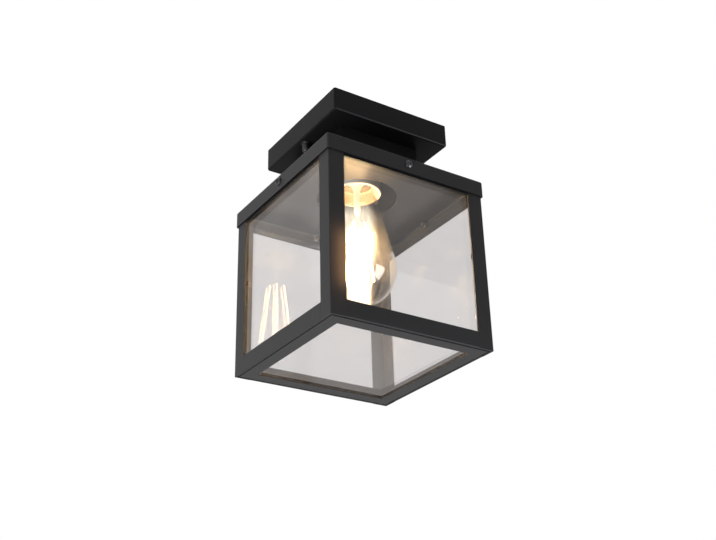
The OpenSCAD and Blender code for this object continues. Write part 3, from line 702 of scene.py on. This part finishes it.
@material("stem_glass")
def stem_glass(board):
    """Clear glass of the lamp's stem, cloudy where it was pressed, with a painted glow in the
    cloud that stands for the light that it carries up.
    """
    glass = clear_sheet(board, (0.95, 0.94, 0.9), (0.7, 0.68, 0.62))
    # The cloudy part has a painted glow.
    cloud_and_glow = board.surface(
        Base_Color=(0.85, 0.83, 0.78, 1),
        Roughness=0.4,
        Emission_Color=(1.0, 0.84, 0.62, 1),
        Emission_Strength=1.1,
    )
    return board.mix(0.35 + board.noise(160.0) * 0.4, glass, cloud_and_glow)


@material("filament_glow")
def filament_glow(board):
    """Coated filament, lit, a little uneven along its length."""
    glow, strength = finishes().glow, finishes().glow_strength
    shown = finishes().glow_seen / strength
    grain = board.noise(700.0, 1.0)
    bright = board.colours(grain, rgba(glow, 0.92), rgba(glow, 1.05))
    seen = board.colours(grain, rgba(glow, shown * 0.9), rgba(glow, shown * 1.1))
    return board.surface(
        Base_Color=(0.9, 0.62, 0.2, 1),
        Roughness=0.5,
        Emission_Color=board.colours(board.shown(), bright, seen),
        Emission_Strength=strength,
    )


def metal(name, colour, roughness, grain=240.0, along=(1.0, 1.0, 1.0)):
    """Bare or plated metal: its tone and gloss follow a fine grain and larger soft stains."""
    dull, spread = 0.75, 0.12

    @material(name)
    def draw(board):
        fine = board.noise(grain, 3.0, board.stretched(along))
        stain = board.noise(grain / 9, 2.0)
        return board.surface(
            Base_Color=board.colours(stain, rgba(colour, dull), rgba(colour)),
            Metallic=1.0,
            Roughness=roughness + (fine - 0.5) * spread + (stain - 0.5) * spread,
            Normal=board.bump(fine, 0.00002, 0.25),
        )

    return draw


zinc_steel = metal("zinc_plated_steel", (0.62, 0.62, 0.6), 0.34, 400.0, (1.0, 6.0, 1.0))
aluminium = metal("rivet_aluminium", (0.8, 0.8, 0.81), 0.3)
brass = metal("brass", (0.83, 0.6, 0.27), 0.27)
nickel = metal("nickel_plate", (0.72, 0.67, 0.58), 0.2)
tin_solder = metal("tin_solder", (0.7, 0.69, 0.67), 0.42, 500.0)


@material("blackened_steel")
def black_screws(board):
    """Blackened steel of the screws, glossier than the coat."""
    grain = board.noise(700.0, 2.0)
    return board.surface(
        Base_Color=board.colours(grain, (0.012, 0.012, 0.013, 1), (0.03, 0.03, 0.032, 1)),
        Metallic=0.35,
        Roughness=0.3 + (grain - 0.5) * 0.15,
        Normal=board.bump(grain, 0.00002, 0.2),
    )


@material("black_chromate")
def black_nuts(board):
    """Black chromate on the roof's nuts, smooth enough to sparkle by the lamp."""
    grain = board.noise(500.0, 2.0)
    return board.surface(
        Base_Color=board.colours(grain, (0.3, 0.26, 0.2, 1), (0.4, 0.35, 0.28, 1)),
        Metallic=1.0,
        Roughness=0.16 + (grain - 0.5) * 0.08,
        Normal=board.bump(grain, 0.00015, 1.0),
    )


@material("white_porcelain")
def porcelain(board):
    """White glazed porcelain with faint specks."""
    speck = ((board.noise(900.0, 1.0) - 0.7) * 6.0).kept_in()
    cloud = board.noise(60.0, 2.0)
    tone = board.colours(cloud, (0.62, 0.59, 0.52, 1), (0.68, 0.65, 0.58, 1))
    return board.surface(
        Base_Color=board.colours(speck * 0.4, tone, (0.35, 0.31, 0.26, 1)),
        Roughness=0.22 + (cloud - 0.5) * 0.08,
        Coat_Weight=0.5,
        Coat_Roughness=0.08,
        Normal=board.bump(cloud, 0.0001, 0.25),
    )


def plastic(name, colour, roughness=0.4, grain=500.0):
    """Moulded plastic with a fine even grain."""

    @material(name)
    def draw(board):
        fine = board.noise(grain, 2.0)
        return board.surface(
            Base_Color=board.colours(fine, rgba(colour, 0.9), rgba(colour, 1.05)),
            Roughness=roughness + (fine - 0.5) * 0.1,
            Normal=board.bump(fine, 0.00002, 0.3),
        )

    return draw


terminal_plastic = plastic("terminal_plastic", (0.78, 0.76, 0.68))
brown_insulation = plastic("brown_insulation", (0.13, 0.045, 0.02))
blue_insulation = plastic("blue_insulation", (0.02, 0.12, 0.45))
black_glass = plastic("black_lamp_glass", (0.012, 0.01, 0.014), 0.12, 900.0)


@material("earth_insulation")
def earth_insulation(board):
    """Green insulation with a yellow stripe on two opposite sides."""
    normal = board.node("TexCoord", outlet="Normal")
    lean = board.vectors("DOT_PRODUCT", normal, (0.3, 0.5, 0.8), outlet="Value")
    stripe = ((board.size_of(lean) - 0.6) * 12.0).kept_in()
    return board.surface(
        Base_Color=board.colours(stripe, (0.03, 0.26, 0.04, 1), (0.75, 0.6, 0.02, 1)),
        Roughness=0.42,
    )


# ---- Pieces ----


class LANTERN_OT_sheet_metal(bpy.types.Operator):
    """Folds the canopy and the roof, and sets the square neck between them"""

    bl_idname = "lantern.sheet_metal"
    bl_label = "Canopy, neck and roof"

    def execute(self, context):
        sheet = low("holder_bridge")[2] - low("canopy")[2]
        wire_hole, lampholder_hole = 22.5 * MM, 34.5 * MM
        flat, mouth = heights("canopy")
        # The canopy takes the darkened coat, as painted shade.
        self.tray("canopy_shell", "canopy", painted_shade_coat, mouth, flat, sheet, wire_hole)
        mouth, flat = heights("roof_cap")
        self.tray("roof_shell", "roof_cap", roof_coat, mouth, flat, sheet, lampholder_hole)
        self.neck()
        return {"FINISHED"}

    def tray(self, name, node, maker, mouth, flat, sheet, hole):
        """A folded tray: rings run from the mouth's edge down the outside, round the fold, across
        to the round hole, and back the same way inside. Each ring is a square with round corners,
        and the rings across the flat go over to circles in proportion to their way."""
        half, height, way = reach(node), abs(mouth - flat), 1 if mouth > flat else -1
        fold, edge, steps = sizes().fold, sizes().edge, sizes().arc_steps
        inner_half, inner_fold = half - sheet, fold - sheet
        ease, hole_edge, side_steps = 0.3 * edge, 0.15 * MM, 24

        def square(size, drop, corner):
            return raised(rounded_square(size, corner, steps, side_steps), flat + way * drop)

        def folded(size, depth, radius, corner):
            return [square(size - radius * (1 - math.cos(t)), depth + radius * (1 - math.sin(t)),
                           corner) for t in np.linspace(0, math.pi / 2, steps + 1)[:-1]]

        def across(drop, size, shares):
            start = rounded_square(size, fold / 2, steps, side_steps)
            end = on_circle(start, hole)
            return [raised(start + (end - start) * s, flat + way * drop) for s in shares]

        shares = (0.0, 0.02, 0.35, 0.7, 0.97, 1.0)
        rings = [square(half - edge, height, fold),
                 square(half - ease, height - ease, fold),
                 square(half, height - edge, fold)]
        rings += folded(half, 0.0, fold, fold)
        rings += across(0.0, half - fold, shares)
        rings += across(hole_edge, half - fold, shares[-1:])
        rings += across(sheet - hole_edge, half - fold, shares[-1:])
        rings += across(sheet, inner_half - inner_fold, shares[::-1])
        rings += folded(inner_half, sheet, inner_fold, fold / 2)[::-1]
        rings += [square(inner_half, height - edge, fold / 2),
                  square(inner_half + ease, height - ease, fold / 2),
                  square(inner_half + edge, height, fold / 2)]
        Shell().rings(rings, loop=True).piece(name, TOP, maker, "black_steel", node)

    def neck(self):
        """A square tube with round corners, open at both ends."""
        half, (bottom, top) = reach("neck_box"), heights("neck_box")
        wall, corner, side_steps = 1.5 * MM, 3 * MM, 8
        outer, inner = (rounded_square(half - depth, corner - depth, sizes().arc_steps, side_steps)
                        for depth in (0.0, wall))
        rings = [raised(outer, bottom), raised(outer, top),
                 raised(inner, top), raised(inner, bottom)]
        # The neck takes the darkened coat, as painted shade.
        Shell().rings(rings, loop=True).piece(
            "neck_tube", TOP, painted_shade_coat, "black_steel", "neck_box")


class LANTERN_OT_cage(bpy.types.Operator):
    """Makes the angle-iron cage: four posts, the bottom frame and the slotted top rails"""

    bl_idname = "lantern.cage"
    bl_label = "Cage"

    # radius of the iron's corners: the rolled one, a cut edge, the root, and one that stays sharp
    rolled, cut, root, sharp = 0.8 * MM, 0.2 * MM, 0.5 * MM, 0.0001 * MM
    sawn = 0.15 * MM  # radius round a sawn end

    def execute(self, context):
        for turn, corner in enumerate(CORNERS):
            self.post(turn, "corner_post_" + corner)
        for turn, side in enumerate(SIDES):
            self.bottom_rail(turn, "bottom_rail_" + side)
            self.top_rail(turn, "top_rail_" + side)
        return {"FINISHED"}

    def section(self):
        """Half width of the cage, edge of a flange, and wall of the angle iron."""
        post, rail = "corner_post_front_left", "top_rail_front"
        return -low(post)[0], -high(post)[0], high(rail)[1] - low(rail)[1]

    def iron(self, shell, node, turn, maker=powder_coat):
        """The finished post or rail."""
        shell.piece(node + "_iron", CAGE, maker, "black_steel", node, turn)

    def post(self, turn, node):
        """Angle section carried upwards: round outside, with a small root and cut flange edges."""
        half, flange, wall = self.section()
        inner, (bottom, top) = wall - half, heights(node)
        points = [(-half, -half), (-flange, -half), (-flange, inner), (inner, inner),
                  (inner, -flange), (-half, -flange)]
        outline = soften(points, [self.rolled, self.cut, self.cut, self.root, self.cut, self.cut])
        axes = ((0, 0, bottom), (1, 0, 0), (0, 1, 0), (0, 0, 1))
        self.iron(Shell().prism(outline, top - bottom, axes, self.sawn), node, turn)

    def bottom_rail(self, turn, node):
        """Angle section carried along X. The upright flange ends square against the posts, and the
        lying flange is mitred: its reach along X is its distance from the middle of the cage. A
        groove runs underneath, along the seam of the two."""
        half, flange, wall = self.section()
        base, top = heights("bottom_rail_front")
        inner, groove, depth, corner = wall - half, 1.7 * MM, 1.25 * MM, CORNER_STEPS + 1
        upright = soften([(inner, top), (-half, top), (-half, base), (inner, base)],
                         [self.cut, self.cut, self.rolled, self.sharp])
        upright = np.vstack([[inner, base + wall], upright[:-corner], [inner, base]])
        lying = [(inner, base), (-flange, base), (-flange, base + wall), (inner, base + wall)]
        lying = soften(lying, [self.sharp, self.cut, self.cut, self.sharp])[corner:-corner]
        lying = np.vstack([[inner, base + depth], [inner + groove, base + depth],
                           [inner + groove, base], lying, [inner, base + wall]])
        section = np.vstack([upright, lying])
        ends = np.concatenate([np.full(len(upright), flange), -lying[:, 0]])
        rings = [np.column_stack([way * ends, section]) for way in (-1, 1)]
        count, split = len(section), len(upright)
        caps = [list(range(split)), list(range(split, count)), [0, split - 1, split, count - 1]]
        self.iron(Shell().rings(rings, caps=caps), node, turn)

    def top_rail(self, turn, node):
        """A flat bar whose slot, open at the top, ends in a half circle round the screw."""
        half, flange, wall = self.section()
        base, top = heights("top_rail_front")
        screw, slot, slot_steps = sum(heights("roof_screws")) / 2, 2.3 * MM, 12
        outline = np.vstack([
            [(-flange, top), (-flange, base), (flange, base), (flange, top), (slot, top)],
            arc((0, screw), slot, 360, 180, slot_steps),
            [(-slot, top)],
        ])
        axes = ((0, -half, 0), (1, 0, 0), (0, 0, 1), (0, 1, 0))
        # The top rails take the darkened coat, as painted shade.
        self.iron(Shell().prism(outline, wall, axes, self.sawn), node, turn, painted_shade_coat)


class LANTERN_OT_glazing(bpy.types.Operator):
    """Sets the five panes and the clips that hold them"""

    bl_idname = "lantern.glazing"
    bl_label = "Panes and clips"

    def execute(self, context):
        for turn, side in enumerate(SIDES):
            node = "side_glass_" + side
            self.pane(node + "_pane", node, "side_glass_front", (0, 2, 1), turn)
        self.pane("bottom_pane", "bottom_glass", "bottom_glass", (0, 1, 2), 0)
        finished_copy("glass_clips", "glass_clip_set", CAGE, powder_coat, "black_steel", 0.4 * MM)
        return {"FINISHED"}

    def pane(self, name, node, shape, axes, turn):
        """A flat pane with a ground edge, of the size of the node named as its shape. Axes are the
        numbers of the two axes that it spreads along and of the one that it is thin along."""
        corner, (lo, hi), unit = 1 * MM, (low(shape), high(shape)), np.eye(3)
        a, b, thin = axes
        outline = soften([(lo[a], lo[b]), (hi[a], lo[b]), (hi[a], hi[b]), (lo[a], hi[b])], corner)
        axes = (lo[thin] * unit[thin], unit[a], unit[b], unit[thin])
        Shell().prism(outline, hi[thin] - lo[thin], axes, sizes().arris, 1).piece(
            name, CAGE, pane_glass, "clear_glass", node, turn)


def thread_wave(depth, bottom, top):
    """A right-hand screw thread as a change of radius: the cosine of the turn less the height in
    turns, faded out over a short way at both ends."""
    pitch, fade = sizes().thread_pitch, 2 * MM

    def wave(turn, height):
        ends = np.clip(np.minimum(height - bottom, top - height) / fade, 0, 1)
        return depth * ends * (np.cos(turn - 2 * math.pi * height / pitch) - 1)

    return wave


def sleeve(outer, inner, start, end, rows):
    """The two walls of a sleeve: points up the outside, and the same heights down the inside."""
    up = np.linspace(start, end, rows)
    return (np.column_stack([np.full(rows, outer), up]),
            np.column_stack([np.full(rows, inner), up[::-1]]))


class LANTERN_OT_lampholder(bpy.types.Operator):
    """Makes the porcelain lampholder with its screw shell, core, contact, tube and nut"""

    bl_idname = "lantern.lampholder"
    bl_label = "Lampholder"

    def execute(self, context):
        self.body()
        self.screw_shell()
        small = 0.2 * MM
        finished_copy("lampholder_core", "lampholder_core_disc", TOP, porcelain, "white_porcelain",
                      small)
        finished_copy("lampholder_contact", "lampholder_contact_tongue", TOP, brass, "brass",
                      0.5 * small)
        finished_copy("lampholder_nipple", "lampholder_tube", TOP, zinc_steel, "zinc_steel", small)
        finished_copy("nipple_nut", "lampholder_tube_nut", TOP, zinc_steel, "zinc_steel",
                      1.5 * small)
        return {"FINISHED"}

    def body(self):
        """The porcelain turned from the tube's hole over the shoulder and down to the rim, then up
        the bore and the step that carries the screw shell."""
        (rim, top), step = heights("lampholder_body"), low("lampholder_shell")[2]
        outer, core_top = reach("lampholder_body"), high("lampholder_core")[2]
        bore, seat = outer - 2.5 * MM, reach("lampholder_shell") + 0.1 * MM
        shoulder, shoulder_drop, hole, lip = 17 * MM, 9 * MM, 5.2 * MM, 1.2 * MM
        bead = 0.6 * lip
        profile = np.vstack([
            [(hole, top)],
            arc((shoulder - lip, top - lip), lip, 90, 30, 5),
            arc((outer - lip, top - shoulder_drop - lip), lip, 30, 0, 3),
            arc((outer - lip, rim + lip), lip, 0, -90, 6),
            arc((bore + bead, rim + bead), bead, -90, -180, 4),
            arc((bore - lip, step - lip), lip, 0, 90, 4),
            [(seat, step), (seat, core_top), (hole, core_top)],
        ])
        Shell().turned(profile, sizes().round_steps).piece(
            "lampholder_porcelain", TOP, porcelain, "white_porcelain", "lampholder_body")

    def screw_shell(self):
        """A thin brass sleeve, pressed into a shallow thread between its plain ends."""
        mouth, end = low("lampholder_shell")[2], low("lampholder_core")[2]
        outer, rows, depth = reach("lampholder_shell"), 140, 0.16 * MM
        profile = sleeve(outer - 0.02 * MM, outer - 0.5 * MM, mouth, end, rows)
        wave = thread_wave(depth, mouth + 1 * MM, end - 3 * MM)
        Shell().turned(np.vstack(profile), sizes().round_steps, wave=wave).piece(
            "lampholder_screw_shell", TOP, brass, "brass", "lampholder_shell", smooth=60)


class LANTERN_OT_lamp(bpy.types.Operator):
    """Makes the teardrop lamp: bulb, screw cap, insulator, contact, stem, filaments and wires"""

    bl_idname = "lantern.lamp"
    bl_label = "Lamp"

    def execute(self, context):
        self.bulb()
        self.cap()
        self.stem()
        self.filaments()
        return {"FINISHED"}

    def bulb(self):
        """A ball and the cone that touches it. The touching point is where the radius is square to
        the cone's side: its angle from the top is the side's lean plus the arc cosine of ball over
        reach. The neck goes over to the throat inside the cap. The inner wall is set in evenly."""
        ball, (bottom, top), cap_low = reach("lamp_bulb"), heights("lamp_bulb"), low("lamp_cap")[2]
        wall, neck, throat, bend = 0.9 * MM, 14.0 * MM, 12.6 * MM, 1.4 * MM
        centre, neck_z = bottom + ball, cap_low - 1 * MM
        dome_steps, cone_steps, bend_steps = 48, 14, 4

        def side(depth):
            radius, end, inner = ball - depth, neck - depth, throat - depth
            rise = neck_z - centre
            touch = math.degrees(math.atan2(end, rise) + math.acos(radius / math.hypot(rise, end)))
            dome = arc((0, centre), radius, -90, 90 - touch, dome_steps)
            dome[0, 0] = 0.0
            start, way = dome[-1], np.linspace(0, 1, cone_steps + 1)[1:-1, None]
            cone = start + (np.array([end, neck_z]) - start) * way
            corners = [start, (end, neck_z), (inner, cap_low), (inner, top)]
            each = bend_steps + 1
            bends = soften(corners, bend, bend_steps)[each:-each]
            return np.vstack([dome, cone, bends, [(inner, top)]])

        profile = np.vstack([side(0.0), side(wall)[::-1]])
        Shell().turned(profile, sizes().round_steps).piece(
            "lamp_bulb_glass", LAMP, bulb_glass, "lamp_glass", "lamp_bulb", smooth=60)

    def cap(self):
        """The screw cap: a skirt that flares at its mouth, the thread and a rolled shoulder."""
        (bottom, top), mouth = heights("lamp_cap"), reach("lamp_cap")
        radius, wall, eye, roll, step = 13.2 * MM, 0.4 * MM, 9.5 * MM, 1.5 * MM, 1.2 * MM
        thread_low, rows, depth = bottom + 2.4 * MM, 120, 0.35 * MM
        outside, inside = sleeve(radius, radius - wall, thread_low, top - roll, rows)
        profile = np.vstack([
            [(mouth, bottom)],
            outside,
            arc((radius - roll, top - roll), roll, 0, 90, 5)[1:],
            [(eye, top), (eye, top - wall), (radius - wall, top - wall - step)],
            inside,
            [(mouth - wall, bottom)],
        ])
        wave = thread_wave(depth, thread_low, top - 2 * MM)
        Shell().turned(profile, sizes().round_steps, wave=wave).piece(
            "lamp_screw_cap", LAMP, nickel, "lamp_nickel", "lamp_cap", smooth=60)
        edge = 0.2 * MM
        finished_copy("lamp_insulator", "lamp_glass_insulator", LAMP, black_glass,
                      "lamp_black_glass", edge)
        finished_copy("lamp_contact", "lamp_solder_contact", TIP, tin_solder, "solder", edge)

    def stem(self):
        """The glass stem: a button and a bead at its tip, and a foot whose radius grows by a power
        of the way up until it meets the bulb's throat."""
        (tip, top), foot = heights("lamp_stem"), reach("lamp_stem")
        stem, flare_height, flare_power = 3 * MM, 13 * MM, 2.2
        button_r, button_out = 1.6 * MM, 0.6 * MM
        bead_r, bead_out, bead_up = 1.1 * MM, 1.9 * MM, 4.5 * MM
        way, steps = np.linspace(0, 1, 16)[:, None], 48
        start, end = np.array([stem, top - flare_height]), np.array([foot, top])
        profile = np.vstack([
            [(0.0, tip)],
            arc((button_out, tip + button_r), button_r, -90, 0, 6),
            arc((bead_out, tip + bead_up), bead_r, -40, 40, 6),
            start + (end - start) * np.hstack([way**flare_power, way]),
            [(0.0, top)],
        ])
        Shell().turned(profile, steps).piece(
            "lamp_glass_stem", LAMP, stem_glass, "lamp_glass", "lamp_stem", smooth=60)

    def filaments(self):
        """Four straight rods with round ends, spread downwards round the axis. Each has a metal tab
        at both ends, a wire from the stem to its top and one from the rod below to its foot."""
        tip, length, radius, top_r, bottom_r = (
            low("lamp_stem")[2], 60 * MM, 0.9 * MM, 6.5 * MM, 13.5 * MM)
        top_z = tip - 7 * MM
        bottom_z = top_z - math.sqrt(length**2 - (bottom_r - top_r) ** 2)
        bare_end, rod_sides, wire, wire_steps, wire_sides = 1.2 * MM, 16, 0.35 * MM, 6, 8
        tab, tab_length, tab_half, tab_corner, tab_edge = (
            0.4 * MM, 1.6 * MM, 0.5 * MM, 0.2 * MM, 0.05 * MM)
        # distance from the axis and height of each wire's points
        hanger = [(0.5 * MM, tip + 2 * MM), (2.5 * MM, tip - 2.5 * MM),
                  (5.8 * MM, top_z + 2 * MM), (top_r, top_z)]
        stay = [(0, bottom_z - 0.6 * MM), (7 * MM, bottom_z - 0.9 * MM), (bottom_r, bottom_z)]
        profile = np.vstack([arc((0, bare_end + radius), radius, -90, 0, 5),
                             arc((0, length - bare_end - radius), radius, 0, 90, 5)])
        profile[[0, -1], 0] = 0.0
        rods, metalwork = Shell(), Shell()
        for turn in np.radians([30, 120, 210, 300]):
            out = np.array([math.cos(turn), math.sin(turn), 0])
            upper, lower = out * top_r + [0, 0, top_z], out * bottom_r + [0, 0, bottom_z]
            turned = Vector((0, 0, 1)).rotation_difference(Vector((lower - upper) / length))
            place = np.array(Matrix.Translation(upper) @ turned.to_matrix().to_4x4())
            rods.turned(profile, rod_sides, place)
            across, over, along = place[:3, :3].T
            axes = [place[:3, 3] - 0.5 * tab * over, across, along, over]
            for a, b in ((0.0, tab_length), (length - tab_length, length)):
                outline = soften([(-tab_half, a), (tab_half, a), (tab_half, b), (-tab_half, b)],
                                 tab_corner)
                metalwork.prism(outline, tab, axes, tab_edge, 1)
            for wire_points in (hanger, stay):
                route = [out * r + [0, 0, z] for r, z in wire_points]
                metalwork.tube(smooth_route(route, wire_steps), wire, wire_sides)
        middle = np.linspace([0, 0, tip + 3 * MM], [0, 0, bottom_z - 1 * MM], 12)
        metalwork.tube(middle, wire, wire_sides)
        rods.piece("lamp_filament_set", LAMP, filament_glow, "filament", "lamp_filaments",
                   smooth=60)
        metalwork.piece("lamp_support_wires", LAMP, nickel, "lamp_nickel", "lamp_wires",
                        smooth=60)


class LANTERN_OT_fasteners(bpy.types.Operator):
    """Finishes the roof screws and their nuts, the cap nuts, the studs and the rivets"""

    bl_idname = "lantern.fasteners"
    bl_label = "Fasteners"

    def execute(self, context):
        finished_set({
            "roof_screws": (black_screws, "screw_black", 0.2),
            "roof_screw_nuts": (black_nuts, "screw_black", 0.25),
            "canopy_cap_nuts": (black_screws, "screw_black", 0.2),
            "bracket_studs": (zinc_steel, "zinc_steel", 0.2),
            "stud_lock_nuts": (zinc_steel, "zinc_steel", 0.25),
            "bridge_rivets": (aluminium, "rivet_aluminium", 0.15),
        })
        return {"FINISHED"}


class LANTERN_OT_ceiling_fixings(bpy.types.Operator):
    """Finishes what stands inside the canopy: bracket, bridge, terminal block and leads"""

    bl_idname = "lantern.ceiling_fixings"
    bl_label = "Ceiling fixings"

    def execute(self, context):
        finished_set({
            "ceiling_bracket": (zinc_steel, "zinc_steel", 0.25),
            "holder_bridge": (zinc_steel, "zinc_steel", 0.25),
            "terminal_block": (terminal_plastic, "terminal_plastic", 0.3),
            "terminal_tubes": (brass, "brass", 0.1),
            "terminal_screws": (zinc_steel, "zinc_steel", 0.1),
            "terminal_block_screw": (zinc_steel, "zinc_steel", 0.1),
            "earth_screw": (brass, "zinc_steel", 0.2),
            "earth_lug": (brass, "brass", 0.1),
        })
        leads = {
            "live_lead": (brown_insulation, "brown_insulation"),
            "neutral_lead": (blue_insulation, "blue_insulation"),
            "earth_lead": (earth_insulation, "earth_insulation"),
        }
        for node, (maker, slot) in leads.items():
            finished_copy(node, node + "_flex", TOP, maker, slot, None, smooth=80)
        return {"FINISHED"}


# ---- Stage ----


@material("pale_floor")
def floor_paint(board):
    """Matt pale paint. It lightens for the camera and in reflections, so that it runs into the
    background, and still takes the shadow."""
    matt = board.node("BsdfDiffuse", {}, {"Color": (0.82, 0.82, 0.82, 1)})
    lift = 0.7 * board.shown()
    lifted = board.node("Emission", {}, {"Color": (1, 1, 1, 1), "Strength": lift})
    return board.node("AddShader", {}, {0: matt, 1: lifted})


class LANTERN_OT_stage(bpy.types.Operator):
    """Sets the camera, the soft lights, the white world and the pale floor"""

    bl_idname = "lantern.stage"
    bl_label = "Stage"

    def execute(self, context):
        scene, at = context.scene, stage()
        self.camera(scene)
        self.world(scene)
        self.floor()
        self.softbox("key_light", (-1.08, -0.23, -1.13), 1.0, at.key_power)
        self.softbox("fill_light", (0.72, -0.88, -1.12), 0.3, at.fill_power)
        window = self.softbox("window_light", (1.04, -1.38, -0.64), 1.1, at.window_power)
        window.data.color = (0.85, 0.93, 1.0)
        window.visible_diffuse = False
        self.glare_strip()
        scene.cycles.transparent_max_bounces = 40
        scene.cycles.max_bounces = 12
        scene.cycles.sample_clamp_indirect = 40.0
        scene.cycles.caustics_reflective = False
        scene.cycles.caustics_refractive = False
        scene.view_settings.view_transform = "Standard"
        return {"FINISHED"}

    def glare_strip(self):
        """A narrow upright strip of warm light close to the near post, seen only by its light."""
        place, aim = (-0.0605, -0.0835, -0.166), (-0.0645, -0.075, -0.166)
        width, length = 2 * MM, 45 * MM
        strip = self.softbox("glare_light", place, width, stage().glare_power, aim)
        strip.data.color = (1.0, 0.53, 0.22)
        strip.data.shape = "RECTANGLE"
        strip.data.size_y = length
        strip.visible_camera = strip.visible_glossy = strip.visible_transmission = False

    def camera(self, scene):
        """The camera, which at first looks straight down with +Y up in the picture. It is turned
        about its sight by the roll, up by a quarter turn and the rise, then to its heading."""
        at, quarter = stage(), math.pi / 2
        data = bpy.data.cameras.new("photo_camera")
        data.lens = at.camera_lens
        data.sensor_width = PICTURE_WIDTH
        data.clip_start = 10 * MM
        made = bpy.data.objects.new("photo_camera", data)
        scene.collection.objects.link(made)
        made.matrix_world = (
            Matrix.Translation(at.camera_place)
            @ Matrix.Rotation(at.camera_heading - quarter, 4, "Z")
            @ Matrix.Rotation(at.camera_rise + quarter, 4, "X")
            @ Matrix.Rotation(at.camera_roll, 4, "Z")
        )
        scene.camera = made

    def world(self, scene):
        """White all round for the camera and in reflections, and a low even light."""
        made = bpy.data.worlds.new("studio")
        made.use_nodes = True
        board = Board(made.node_tree)
        white, level = (1, 1, 1, 1), stage().world_level
        strength = level + (1.0 - level) * board.shown()
        board.end(board.node("Background", {}, {"Color": white, "Strength": strength}),
                  "OutputWorld")
        scene.world = made

    def floor(self):
        """A large pale floor far under the lantern."""
        half, z = 12.0, -stage().floor_drop
        mesh = bpy.data.meshes.new("pale_floor")
        corners = [(-half, -half, z), (half, -half, z), (half, half, z), (-half, half, z)]
        mesh.from_pydata(corners, [], [(0, 1, 2, 3)])
        mesh.materials.append(floor_paint())
        made = bpy.data.objects.new("pale_floor", mesh)
        bpy.context.scene.collection.objects.link(made)

    def softbox(self, name, place, size, power, aim=LOOK_AT):
        """A square soft light at a place, turned to its aim."""
        data = bpy.data.lights.new(name, "AREA")
        data.shape = "SQUARE"
        data.size = size
        data.energy = power
        made = bpy.data.objects.new(name, data)
        bpy.context.scene.collection.objects.link(made)
        turn = (Vector(aim) - Vector(place)).to_track_quat("-Z", "Y").to_matrix().to_4x4()
        made.matrix_world = Matrix.Translation(Vector(place)) @ turn
        return made


OPERATORS = (
    LANTERN_OT_stage,
    LANTERN_OT_sheet_metal,
    LANTERN_OT_cage,
    LANTERN_OT_glazing,
    LANTERN_OT_lampholder,
    LANTERN_OT_lamp,
    LANTERN_OT_fasteners,
    LANTERN_OT_ceiling_fixings,
)


class LANTERN_PT_sidebar(bpy.types.Panel):
    """Lists the steps that make the lantern"""

    bl_idname = "LANTERN_PT_sidebar"
    bl_label = "Porch ceiling lantern"
    bl_space_type = "VIEW_3D"
    bl_region_type = "UI"
    bl_category = "Lantern"

    def draw(self, context):
        for operator in OPERATORS:
            self.layout.operator(operator.bl_idname)
        for group in (sizes(), finishes(), stage()):
            for name in group.bl_rna.properties.keys():
                if name not in ("rna_type", "name"):
                    self.layout.prop(group, name)


GROUPS = {
    "lantern_sizes": LanternSizes,
    "lantern_finishes": LanternFinishes,
    "lantern_stage": LanternStage,
}


def register():
    for group in GROUPS.values():
        bpy.utils.register_class(group)
    for operator in OPERATORS:
        bpy.utils.register_class(operator)
    bpy.utils.register_class(LANTERN_PT_sidebar)
    for name, group in GROUPS.items():
        setattr(bpy.types.Scene, name, PointerProperty(type=group))


def unregister():
    for name in GROUPS:
        delattr(bpy.types.Scene, name)
    bpy.utils.unregister_class(LANTERN_PT_sidebar)
    for operator in reversed(OPERATORS):
        bpy.utils.unregister_class(operator)
    for group in reversed(list(GROUPS.values())):
        bpy.utils.unregister_class(group)


def main():
    register()
    for operator in OPERATORS:
        area, step = operator.bl_idname.split(".")
        getattr(getattr(bpy.ops, area), step)()


if __name__ == "__main__":
    main()
